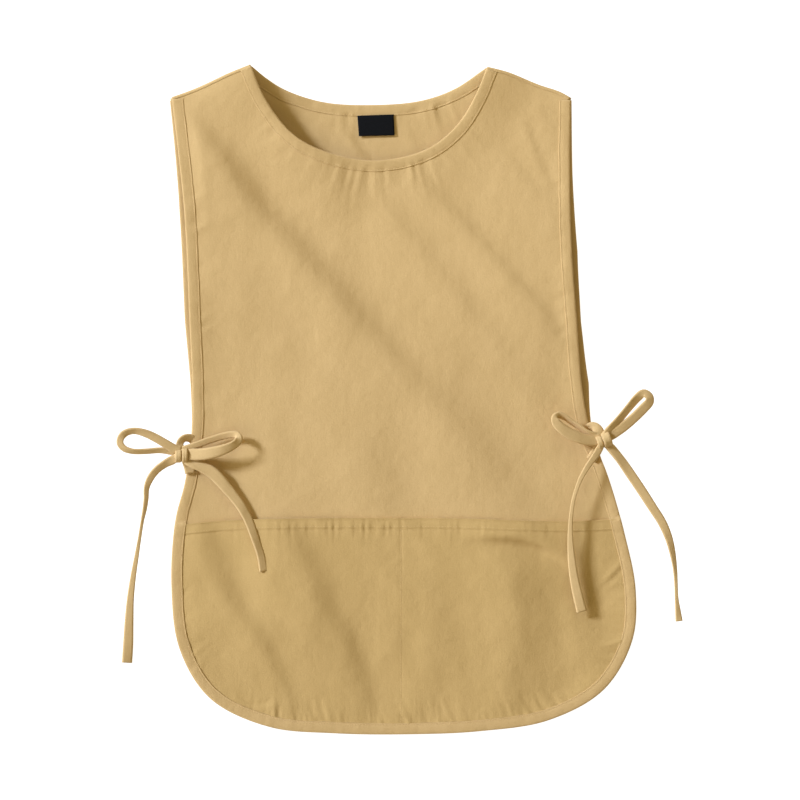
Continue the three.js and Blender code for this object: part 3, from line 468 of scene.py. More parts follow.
def backUnder(places):
    line = np.vstack([backEdge, backNeck[::-1]])
    toEdge = measureFrom(line[::2], places)[0]
    settled = ramp(body["bindingWidth"] + 0.4, body["backSettle"], toEdge)
    height = swells(neckPeaks, places) + body["backEdgeRise"] * (1 - settled)
    height += body["backRise"] * settled
    spots = [(430, 118, 24, 0.9), (458, 110, 22, 0.8), (335, 122, 22, 0.6), (385, 128, 24, 0.3)]
    rough = puckers(backNeck, places, 81, spots, 4.6, 11, 15)
    rough = rough + foldHeights(backFolds, places) + undulation(places, 9, 0.4)
    return height + np.maximum(rough, -0.55) * ramp(0, 12, toEdge)


# An object from places in millimetres, with its finish and its texture places.
def makeObject(name, vertices, faces, material, uvs=None, repair=False):
    mesh = bpy.data.meshes.new(name)
    mesh.from_pydata((np.asarray(vertices, float) * mm).tolist(), [], faces)
    if uvs is not None:
        layer = mesh.uv_layers.new(name="UVMap")
        numbers = np.empty(len(mesh.loops), int)
        mesh.loops.foreach_get("vertex_index", numbers)
        layer.data.foreach_set("uv", (np.asarray(uvs, float)[numbers] * mm).ravel())
    if repair:
        edit = bmesh.new()
        edit.from_mesh(mesh)
        bmesh.ops.remove_doubles(edit, verts=edit.verts, dist=1e-6)
        bmesh.ops.recalc_face_normals(edit, faces=edit.faces)
        edit.to_mesh(mesh)
        edit.free()
    mesh.shade_smooth()
    mesh.materials.append(material)
    thing = bpy.data.objects.new(name, mesh)
    scene.collection.objects.link(thing)
    return thing


# A closed cloth over a grid of places. Its upper face has every cell, and its hidden lower
# face one polygon for each block of cells, kept below the upper face.
def clothShell(places, top, wall, block=4):
    rows, columns = top.shape[0] - 1, top.shape[1] - 1
    number = np.arange((rows + 1) * (columns + 1)).reshape(rows + 1, columns + 1)
    upper = np.dstack([places, top]).reshape(-1, 3)
    a, b = number[:-1, :-1].ravel(), number[1:, :-1].ravel()
    c, d = number[1:, 1:].ravel(), number[:-1, 1:].ravel()
    faces = np.stack([a, b, c, d], -1).tolist()
    low = top - wall
    share = np.arange(block + 1) / block
    sunk = np.zeros(top.shape)
    for j in range(0, rows, block):
        for i in range(0, columns, block):
            part = top[j:j + block + 1, i:i + block + 1]
            v, u = share[:, None], share[None, :]
            flat = (part[0, 0] * (1 - v) * (1 - u) + part[0, -1] * (1 - v) * u
                    + part[-1, 0] * v * (1 - u) + part[-1, -1] * v * u)
            over = max(0, (flat - part).max())
            for corner in ((j, i), (j, i + block), (j + block, i), (j + block, i + block)):
                sunk[corner] = max(sunk[corner], over)
    used = {}
    lower = []

    def under(j, i):
        if (j, i) not in used:
            used[j, i] = len(upper) + len(lower)
            lower.append((*places[j, i], low[j, i] - sunk[j, i]))
        return used[j, i]

    for j in range(0, rows, block):
        for i in range(0, columns, block):
            j2, i2 = j + block, i + block
            loop = [(j, i)]
            loop += [(j, n) for n in range(i + 1, i2)] if j == 0 else []
            loop += [(j, i2)]
            loop += [(n, i2) for n in range(j + 1, j2)] if i2 == columns else []
            loop += [(j2, i2)]
            loop += [(j2, n) for n in range(i2 - 1, i, -1)] if j2 == rows else []
            loop += [(j2, i)]
            loop += [(n, i) for n in range(j2 - 1, j, -1)] if i == 0 else []
            faces.append([under(*corner) for corner in loop])
    rim = [(j, 0) for j in range(rows)] + [(rows, i) for i in range(columns)]
    rim += [(j, columns) for j in range(rows, 0, -1)] + [(0, i) for i in range(columns, 0, -1)]
    for first, second in zip(rim, rim[1:] + rim[:1]):
        faces.append([number[second], number[first], under(*first), under(*second)])
    return np.vstack([upper, np.asarray(lower)]), faces


# A closed strip through rings of points, with its length and girth as texture places.
def stripShell(sections):
    sections = np.asarray(sections, float)
    count, size = sections.shape[:2]
    number = np.arange(count * size).reshape(count, size)
    faces = []
    for k in range(size):
        a, b = number[:-1, k], number[:-1, (k + 1) % size]
        c, d = number[1:, (k + 1) % size], number[1:, k]
        faces += np.stack([a, b, c, d], -1).tolist()
    faces += [number[0, ::-1].tolist(), number[-1].tolist()]
    along = lengthsAlong(sections.mean(axis=1))
    girth = np.concatenate([[0], np.cumsum(
        np.linalg.norm(np.diff(sections[count // 2], axis=0), axis=1))])
    uvs = np.stack([np.repeat(along, size), np.tile(girth, count)], -1)
    return sections.reshape(-1, 3), faces, uvs


# A node with its settings, then its inputs, each a value or a socket to link from.
def addNode(tree, kind, settings, inputs):
    made = tree.nodes.new(kind)
    for key, value in settings.items():
        setattr(made, key, value)
    for key, value in inputs.items():
        if isinstance(value, bpy.types.NodeSocket):
            tree.links.new(value, made.inputs[key])
        else:
            made.inputs[key].default_value = value
    return made


# Wraps a shader socket, so that sums of values are written as plain arithmetic.
class Value:
    def __init__(self, finish, socket):
        self.finish = finish
        self.socket = socket

    def step(self, operation, first, second):
        return self.finish.node("ShaderNodeMath", {"operation": operation}, {0: first, 1: second})

    def __add__(self, other):
        return self.step("ADD", self, other)

    def __radd__(self, other):
        return self.step("ADD", other, self)

    def __mul__(self, other):
        return self.step("MULTIPLY", self, other)

    def __rmul__(self, other):
        return self.step("MULTIPLY", other, self)


class Finish:
    def __init__(self, name, roughness, sheen=0.0):
        self.material = bpy.data.materials.new(name)
        self.material.use_nodes = True
        self.tree = self.material.node_tree
        self.shader = self.tree.nodes["Principled BSDF"]
        self.shader.inputs["Roughness"].default_value = roughness
        self.shader.inputs["Specular IOR Level"].default_value = 0.25
        self.shader.inputs["Sheen Weight"].default_value = sheen
        self.shader.inputs["Sheen Roughness"].default_value = 0.6
        self.places = self.node("ShaderNodeTexCoord", {}, {}, "Object")
        self.uv = self.node("ShaderNodeTexCoord", {}, {}, "UV")

    def node(self, kind, settings, inputs, output=0):
        plain = {key: getattr(value, "socket", value) for key, value in inputs.items()}
        return Value(self, addNode(self.tree, kind, settings, plain).outputs[output])

    def link(self, value, name):
        self.tree.links.new(value.socket, self.shader.inputs[name])

    # Noise over the surface, stretched by a scale for each direction, between 0 and 1.
    def noise(self, source, stretch, scale, detail=2.0, roughness=0.5):
        at = self.node("ShaderNodeVectorMath", {"operation": "MULTIPLY"}, {0: source, 1: stretch})
        return self.node("ShaderNodeTexNoise", {}, {
            "Vector": at, "Scale": scale, "Detail": detail, "Roughness": roughness}, "Fac")

    # Base colour between a look's dark and light. Sockets 6 and 7 are the two colours.
    def colour(self, share, look):
        mixed = self.node("ShaderNodeMix", {"data_type": "RGBA"}, {
            0: share, 6: (*look["dark"], 1), 7: (*look["light"], 1)}, 2)
        self.link(mixed, "Base Color")

    def bump(self, height, distance):
        normal = self.node("ShaderNodeBump", {}, {
            "Strength": 1.0, "Distance": distance, "Height": height}, "Normal")
        self.link(normal, "Normal")

    # Ribs along one axis of a source, so many for each metre, between -1 and 1.
    def ribs(self, source, axis, turns):
        along = self.node("ShaderNodeSeparateXYZ", {}, {0: source}, axis)
        return self.node("ShaderNodeMath", {"operation": "SINE"}, {0: along * (6.2832 * turns)})


# Plain woven cotton: fine crossing threads, thicker ones here and there, and a colour that
# wanders a little along the warp.
def cottonFinish(name, look, source="places"):
    finish = Finish(name, look["roughness"], look["sheen"])
    at = getattr(finish, source)
    turns = 1 / (look["thread"] * mm)
    weave = finish.ribs(at, "X", turns) * finish.ribs(at, "Y", turns) * 0.5 + 0.5
    slub = finish.noise(at, (1.0, 0.12, 1.0), 900.0, 3.0, 0.6)
    cross = finish.noise(at, (0.12, 1.0, 1.0), 900.0, 3.0, 0.6)
    grain = finish.noise(at, (1, 1, 1), 650.0, 2.0, 0.6)
    streak = finish.noise(at, (1.0, 0.08, 1.0), 240.0, 3.0, 0.6)
    cloud = finish.noise(at, (1, 1, 1), 22.0, 3.0, 0.5)
    crumple = finish.noise(at, (1.0, 0.85, 1.0), 62.0, 3.0, 0.5)
    tone = cloud * 0.35 + streak * 0.12 + grain * 0.33 + slub * 0.2
    sharp = finish.node("ShaderNodeMapRange", {}, {0: tone, 1: 0.36, 2: 0.64, 3: 0.0, 4: 1.0})
    finish.colour(sharp, look)
    rough = finish.node("ShaderNodeMapRange", {}, {
        0: grain, 1: 0.3, 2: 0.7, 3: look["roughness"] - 0.05, 4: look["roughness"] + 0.05})
    finish.link(rough, "Roughness")
    fine = weave * 0.3 + slub * 0.5 + cross * 0.4 + grain * 0.7
    finish.bump(fine + crumple * look["crumple"], look["relief"] * mm)
    return finish.material


# Thread and rib are spacings in millimetres, relief the height of the bump, and crumple how
# much of it is soft creasing.
poplinLook = {"thread": 0.55, "roughness": 0.88, "sheen": 0.12, "relief": 0.17, "crumple": 5.4,
              "dark": (0.590, 0.402, 0.172), "light": (0.650, 0.448, 0.202)}
# The pocket's colour is a little darker than the panels': painted shade for the lower part of the
# apron, which lies in less light.
pocketPaintedShadeLook = dict(poplinLook, dark=(0.530, 0.355, 0.132), light=(0.588, 0.398, 0.158))
bindingLook = dict(poplinLook, dark=(0.572, 0.388, 0.164), light=(0.634, 0.436, 0.196))
tieLook = dict(poplinLook, dark=(0.600, 0.416, 0.186), light=(0.664, 0.465, 0.218), crumple=1.6)
threadLook = {"roughness": 0.7, "dark": (0.60, 0.42, 0.19), "light": (0.74, 0.53, 0.27)}
labelLook = {"roughness": 0.85, "gloss": 0.12, "rib": 0.45,
             "dark": (0.004, 0.0045, 0.006), "light": (0.009, 0.010, 0.013)}

poplin = cottonFinish("poplin", poplinLook)
pocketPaintedShadePoplin = cottonFinish("pocketPaintedShadePoplin", pocketPaintedShadeLook)
bindingPoplin = cottonFinish("bindingPoplin", bindingLook)
tiePoplin = cottonFinish("tiePoplin", tieLook, "uv")


def threadFinish(name, look):
    finish = Finish(name, look["roughness"], 0.1)
    tone = finish.noise(finish.places, (1, 1, 1), 2200.0, 2.0)
    finish.colour(tone, look)
    finish.bump(tone, 0.1 * mm)
    return finish.material


# Black woven satin: fine ribs across, and little gloss.
def labelFinish(name, look):
    finish = Finish(name, look["roughness"])
    finish.shader.inputs["Specular IOR Level"].default_value = look["gloss"]
    ribs = finish.ribs(finish.places, "Y", 1 / (look["rib"] * mm))
    grain = finish.noise(finish.places, (0.25, 1, 1), 1500.0, 2.0)
    tone = ribs * 0.25 + grain * 0.75
    finish.colour(tone, look)
    finish.bump(ribs * 0.5 + grain, 0.12 * mm)
    return finish.material


thread = threadFinish("sewingThread", threadLook)
labelSatin = labelFinish("labelSatin", labelLook)
print("finishes made")


def finishPiece(thing, slot, *nodes):
    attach(thing, "root")
    if nodes:
        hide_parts(*nodes)
    return thing


# The area of a grid of places in the plan, in square metres.
def planArea(grid):
    a, b = grid[1:, :-1] - grid[:-1, :-1], grid[:-1, 1:] - grid[:-1, :-1]
    c, d = grid[:-1, 1:] - grid[1:, 1:], grid[1:, :-1] - grid[1:, 1:]
    twice = np.abs(a[..., 0] * b[..., 1] - a[..., 1] * b[..., 0])
    twice = twice + np.abs(c[..., 0] * d[..., 1] - c[..., 1] * d[..., 0])
    return float(twice.sum() / 2) * mm * mm


# The camera looks straight down: its lens, its sensor, how wide a strip of the floor it
# sees, and how far below the origin and above the floor its picture is centred.
view = {"lens": 150.0, "sensor": 36.0, "span": 851.5, "below": 1.0, "above": 12.0}
cameraData = bpy.data.cameras.new("camera")
cameraData.lens = view["lens"]
cameraData.sensor_width = view["sensor"]
camera = bpy.data.objects.new("camera", cameraData)
scene.collection.objects.link(camera)
cameraHeight = view["span"] * view["lens"] / view["sensor"]
camera.location = (0, -view["below"] * mm, (cameraHeight + view["above"]) * mm)
scene.camera = camera

light = {
    "heading": 26.0,        # degrees below the board's rows in which the shadows run
    "height": 26.0,         # degrees above the floor
    "softness": 11.0,
    "strength": 4.75,
    "colour": (0.71, 0.795, 1.0),
    "sideHeading": -31.0,   # a wide soft light from below left
    "sideHeight": 30.0,
    "sideSoftness": 50.0,
    "sideStrength": 0.9,
    "sideColour": (1.0, 1.0, 1.0),
    "fillPlace": (0.15, 0.95, 0.85),   # a wide soft light beyond the neck
    "fillSize": 0.9,
    "fillPower": 2.1,
    "fillColour": (1.0, 1.0, 0.85),
    "skyColour": (1.0, 0.80, 0.34),
    "skyStrength": 0.32,
}


def shineFrom(name, heading, height, softness, strength, colour):
    data = bpy.data.lights.new(name, "SUN")
    data.energy = strength
    data.angle = math.radians(softness)
    data.color = colour
    lamp = bpy.data.objects.new(name, data)
    aside, down = math.radians(heading), math.radians(height)
    travel = Vector((math.cos(aside) * math.cos(down), -math.sin(aside) * math.cos(down),
                     -math.sin(down)))
    lamp.rotation_euler = travel.to_track_quat("-Z", "Y").to_euler()
    lamp.location = travel * -1.5
    scene.collection.objects.link(lamp)


shineFrom("keyLight", light["heading"], light["height"], light["softness"],
          light["strength"], light["colour"])
shineFrom("sideLight", light["sideHeading"], light["sideHeight"], light["sideSoftness"],
          light["sideStrength"], light["sideColour"])

fillData = bpy.data.lights.new("fillLight", "AREA")
fillData.shape = "DISK"
fillData.size = light["fillSize"]
fillData.energy = light["fillPower"]
fillData.color = light["fillColour"]
fill = bpy.data.objects.new("fillLight", fillData)
fill.location = light["fillPlace"]
fill.rotation_euler = (Vector((0, 0.1, 0)) - fill.location).to_track_quat("-Z", "Y").to_euler()
scene.collection.objects.link(fill)

world = bpy.data.worlds.new("studio")
world.use_nodes = True
scene.world = world
backdrop = world.node_tree.nodes["Background"]
backdrop.inputs["Color"].default_value = (*light["skyColour"], 1)
backdrop.inputs["Strength"].default_value = light["skyStrength"]
scene.view_settings.view_transform = "Standard"


floor = {"half": 20000.0, "level": -0.4, "glow": 0.96,
         "dark": (0.30, 0.30, 0.30), "light": (0.31, 0.31, 0.31)}


def paleFloor():
    finish = Finish("paleFloor", 0.9)
    finish.colour(finish.noise(finish.places, (1, 1, 1), 60.0, 2.0), floor)
    finish.shader.inputs["Emission Color"].default_value = (1, 1, 1, 1)
    finish.shader.inputs["Emission Strength"].default_value = floor["glow"]
    corners = [(x * floor["half"], y * floor["half"], floor["level"])
               for x, y in ((-1, -1), (1, -1), (1, 1), (-1, 1))]
    makeObject("studio_floor", corners, [(0, 1, 2, 3)], finish.material)


paleFloor()
print("camera, light and floor set")

# Cells across and down each panel, and how far the cloth stays inside its edges.
panel = {"frontColumns": 280, "frontRows": 228, "frontSkirtRows": 12,
         "backColumns": 160, "backRows": 160, "backSkirtRows": 24,
         "inset": 2.0, "shoulderInset": 1.2,
         "tucked": 2.2,   # how much lower the front lies behind the pocket
         "frontFlat": (0.501, 0.714), "backFlat": (0.503, 0.714)}


def gridOf(side, edge, neck):
    counts = [panel[side + part] for part in ("Columns", "Rows", "SkirtRows")]
    return panelGrid(edge, neck, *counts, panel["inset"], panel["shoulderInset"])


frontGrid = gridOf("front", frontEdge, frontNeck)
# Below the pocket line the front is hidden and lies a little lower than the pocket's back.
hidden = ramp(0, 14, measureFrom(pocketLine, frontGrid)[0])
hidden[: panel["frontRows"] + 1] = 0
frontTop = frontUnder(frontGrid) + body["cloth"] - panel["tucked"] * hidden
frontCloth = makeObject("front_cloth", *clothShell(frontGrid, frontTop, body["cloth"]), poplin)
finishPiece(frontCloth, "cloth", "front_panel")
planArea(frontGrid)

backGrid = gridOf("back", backEdge, backNeck)
backTop = backUnder(backGrid) + body["cloth"]
backCloth = makeObject("back_cloth", *clothShell(backGrid, backTop, body["cloth"] * 0.9), poplin)
finishPiece(backCloth, "cloth", "back_panel")
planArea(backGrid)
print("front and back panels made", len(frontCloth.data.polygons), len(backCloth.data.polygons))

pocket = {
    "columns": 320, "rows": 120,
    "depth": 196.0,     # down the side, to where it turns into the hem
    "above": 1.6,       # its underside above the front's
    "wall": 1.3,        # times the cloth of a panel
    "inset": 2.0,
    "hem": 12.0,
    "hemExtra": 0.75,   # how much thicker the turned hem is
    "roll": 1.7,        # radius of the folded top edge
    "lip": 0.4,
    "pouch": 1.8,       # how far each half bulges
    "divider": 401.0,   # where the seam between them lies on the board
    "flat": (0.501, 0.245),
}


def pocketSide(share, fromEnd):
    total = lengthsAlong(frontEdge)[-1]
    start = levelOn(frontEdge, pocketLevels[1 if fromEnd else 0], fromEnd) * total
    corner = levelOn(frontEdge, cornerLevel, fromEnd) * total
    return pointsAt(frontEdge, start + (corner - start) * share)


# Distances below the pocket's top edge at which its rows of cells lie.
def pocketDepths():
    first = [0, 0.2, 0.5, 0.9, 1.4, 2.2, 3.4, 4.8, 6.2, 7.6, 8.8, 9.7, 10.3, 10.8, 11.3, 11.8,
             12.2, 12.6, 13.2, 14.2]
    rest = np.linspace(first[-1], pocket["depth"], pocket["rows"] - len(first) + 2)[1:]
    return np.array(first + rest.tolist())


def pocketPlaces():
    depths = pocketDepths()
    share = depths / depths[-1]
    left, right = pocketSide(share, False), pocketSide(share, True)
    cornerLeft = levelOn(frontEdge, cornerLevel, False)
    cornerRight = levelOn(frontEdge, cornerLevel, True)
    columns = pocket["columns"]
    hem = spaced(frontEdge, cornerLeft, cornerRight, columns)
    top = fitEnds(spaced(pocketLine, 0, 1, columns), left[0], right[0])
    ring = np.vstack([left, hem[1:-1], right[::-1], top[1:-1][::-1]])
    rows = len(left) - 1
    distance = np.full(len(ring), pocket["inset"])
    distance[2 * rows + columns + 1:] = 0
    inset = insetRing(ring, distance)
    left, hem = inset[: rows + 1], inset[rows : rows + columns + 1]
    right = inset[rows + columns : 2 * rows + columns + 1][::-1]
    top = fitEnds(top, left[0], right[0])
    return fillPatch(top, hem, left, right)


def pocketUnder(places):
    height = frontUnder(places, detail=False) + pocket["above"]
    toEdge = measureFrom(frontEdge[::2], places)[0]
    below = measureFrom(pocketLine, places)[0]
    share = (places[..., 0] / body["hemWidth"] + 0.5) * 2
    bulge = np.sin(np.pi * (share % 1)) ** 2
    fade = ramp(0, 20, toEdge) * (1 - ramp(0, 200, below))
    height += pocket["pouch"] * bulge * fade
    height += pocketPuckers(places) * ramp(2, 12, toEdge)
    height += undulation(places, 7, 1.0) * ramp(8, 36, toEdge)
    groove = np.exp(-((places[..., 0] - onBoard((pocket["divider"], 0))[0]) / 1.3) ** 2)
    height -= groove * ramp(0, 3, below) * (0.12 + 0.3 * (1 - ramp(20, 60, below)))
    return height


pocketGrid = pocketPlaces()
belowTop = measureFrom(pocketLine, pocketGrid)[0]
belowTop[0] = 0
hemPart = 1 - ramp(pocket["hem"] - 0.9, pocket["hem"] + 1.4, belowTop)
stitchLine = np.exp(-(((belowTop - pocket["hem"] + 1.6) / 0.8) ** 2))
rolled = pocket["roll"] - np.minimum(belowTop, pocket["roll"])
rollDrop = pocket["roll"] - np.sqrt(np.maximum(pocket["roll"] ** 2 - rolled**2, 0))
bandRise = pocket["hemExtra"] * hemPart - 0.15 * stitchLine
lip = pocket["lip"] * np.exp(-(((belowTop - 1.7) / 1.1) ** 2))
pocketTop = pocketUnder(pocketGrid) + body["cloth"] + bandRise + lip - rollDrop
pocketShell = clothShell(pocketGrid, pocketTop, body["cloth"] * pocket["wall"])
pocketCloth = makeObject("pocket_cloth", *pocketShell, pocketPaintedShadePoplin)
finishPiece(pocketCloth, "pocket", "front_pocket")
planArea(pocketGrid)
print("pocket made", len(pocketCloth.data.polygons), pocketGrid.shape)

# A tape folded over an edge, as its outer face over the cloth and its inner face back again.
# Columns: distance in from the edge, height above the cloth's face.
tapeOuter = [
    (12.0, 0.28), (11.8, 0.50), (11.3, 0.58), (10.9, 0.50), (10.4, 0.38), (9.9, 0.46),
    (8.6, 0.66), (6.4, 0.78), (4.2, 0.80), (2.2, 0.76), (0.9, 0.58), (0.2, 0.18), (0.0, -0.35),
]
tapeInner = [(11.9, 0.06), (10.4, 0.02), (8.4, 0.26), (4.4, 0.40), (1.7, 0.30), (0.6, -0.2)]


# Sections of a tape over the edge line, whose cloth lies to the line's left. topOf and
# underOf give the heights of the cloth's two faces.
def bindingSections(edge, topOf, underOf, seed):
    inward = leftOf(edge)
    along = lengthsAlong(edge)
    wander = 0.22 * wave(along / 14, seed) + 0.1 * wave(along / 4, seed + 1)
    puff = 1 + 0.16 * wave(along / 9, seed + 2) + 0.12 * wave(along / 3.4, seed + 3)

    def ring(distance, rise, isTop):
        at = edge + inward * (distance + wander * (distance > 9))[:, None]
        face = topOf(at) + rise * puff if isTop else underOf(at) - rise * 0.8
        return np.column_stack([at, face])

    rings = [ring(distance, rise, True) for distance, rise in tapeOuter]
    rings += [ring(distance, rise, False) for distance, rise in tapeOuter[-2::-1]]
    rings += [ring(distance, rise, False) for distance, rise in tapeInner]
    rings += [ring(distance, rise, True) for distance, rise in tapeInner[::-1]]
    return np.stack(rings, 1)


def boundFrontTop(at):
    isPocket = at[:, 1] < np.interp(at[:, 0], pocketLine[:, 0], pocketLine[:, 1])
    below = measureFrom(pocketLine, at)[0] * isPocket
    band = ramp(-1.5, 1.0, below * 2 - 1) * (1.75 + 0.6 * (1 - ramp(11, 14, below)))
    return frontUnder(at) + body["cloth"] + np.where(isPocket, band, 0)


def boundBackTop(at):
    return backUnder(at) + body["cloth"]


# Flat: the width that the tape is cut to. Seam: how far from the edge it is sewn down.
binding = {"flat": 0.0255, "seam": 10.4, "seedStep": 10}
boundEdges = {
    "front_edge": (frontEdge, boundFrontTop, frontUnder),
    "back_edge": (backEdge, boundBackTop, backUnder),
    "front_neck": (frontNeck, boundFrontTop, frontUnder),
    "back_neck": (backNeck, boundBackTop, backUnder),
}


# The neck lines run from left to right, so they are turned to have their cloth on the left.
def boundPart(name, sideGap, neckGap):
    line = boundEdges[name][0]
    if "neck" in name:
        return partOf(line, neckGap, 1 - neckGap)[::-1]
    return partOf(line, sideGap, 1 - sideGap)


for turn, (name, (_, topOf, underOf)) in enumerate(boundEdges.items()):
    edge = boundPart(name, 0.0015, 0.004)
    sections = bindingSections(edge, topOf, underOf, 101 + turn * binding["seedStep"])
    vertices, faces, uvs = stripShell(sections)
    tape = makeObject(name + "_tape", vertices, faces, bindingPoplin, uvs, repair=True)
    finishPiece(tape, "binding", name + "_binding")
print("bindings made")


# The fold of a shoulder: distance in from its line, which cloth it follows, height above it.
shoulderFold = [
    (3.6, "front", 0.75), (2.9, "front", 1.0), (1.6, "front", 1.05), (0.5, "front", 0.75),
    (0.0, "front", 0.0), (0.0, "between", 0.0), (0.0, "back", 1.0), (0.6, "back", 0.2),
    (2.0, "back", 0.0), (2.0, "back", 0.6), (1.1, "back", 1.0), (0.8, "between", 0.0),
    (0.9, "front", -0.3), (1.6, "front", 0.3), (3.0, "front", 0.4),
]


def shoulderSections(line):
    rings = []
    for distance, level, rise in shoulderFold:
        at = line - leftOf(line) * distance
        low, high = backUnder(at), frontUnder(at)
        base = {"front": high, "back": low, "between": (low + high) / 2}[level]
        rings.append(np.column_stack([at, base + rise]))
    return np.stack(rings, 1)


for side, line in (("left", leftShoulder), ("right", rightShoulder)):
    vertices, faces, uvs = stripShell(shoulderSections(partOf(line, 0.0, 1.0)))
    seam = makeObject(side + "_shoulder_fold", vertices, faces, poplin, uvs, repair=True)
    finishPiece(seam, "cloth", side + "_shoulder_seam")
print("shoulder folds made")

# The plain label inside the back neck: its corners on the board, its face's height above the
# floor, how far that bulges and how far its edges are pressed down.
label = {"corners": [(357.3, 114.9), (393.8, 113.7), (394.6, 134.6), (358.8, 135.5)],
         "height": 2.8, "wall": 0.8, "bulge": 0.25, "pressed": 0.25, "cells": (26, 16),
         "flat": (0.039, 0.0225)}


def labelMesh():
    corners = onBoard(label["corners"])
    columns, rows = label["cells"]
    u = np.linspace(0, 1, columns + 1)[None, :, None]
    v = np.linspace(0, 1, rows + 1)[:, None, None]
    upper = corners[0] * (1 - u) + corners[1] * u
    lower = corners[3] * (1 - u) + corners[2] * u
    grid = upper * (1 - v) + lower * v
    u, v = u[..., 0], v[..., 0]
    height = label["height"] + label["bulge"] * np.sin(u * 3.1416) * np.ones(grid.shape[:2])
    inset = np.minimum(np.minimum(u, 1 - u) * 39, np.minimum(v, 1 - v) * 22)
    height = height + label["wall"] - label["pressed"] * np.exp(-((inset / 0.7) ** 2))
    return clothShell(grid, height, label["wall"], 2)


neckLabel = makeObject("neck_label_cloth", *labelMesh(), labelSatin)
finishPiece(neckLabel, "label", "neck_label")
print("label made")

# Wall of the tape, length of its cells, and how near to its knot it is drawn in.
ties = {"wall": 1.6, "step": 1.4, "gather": 13.0}

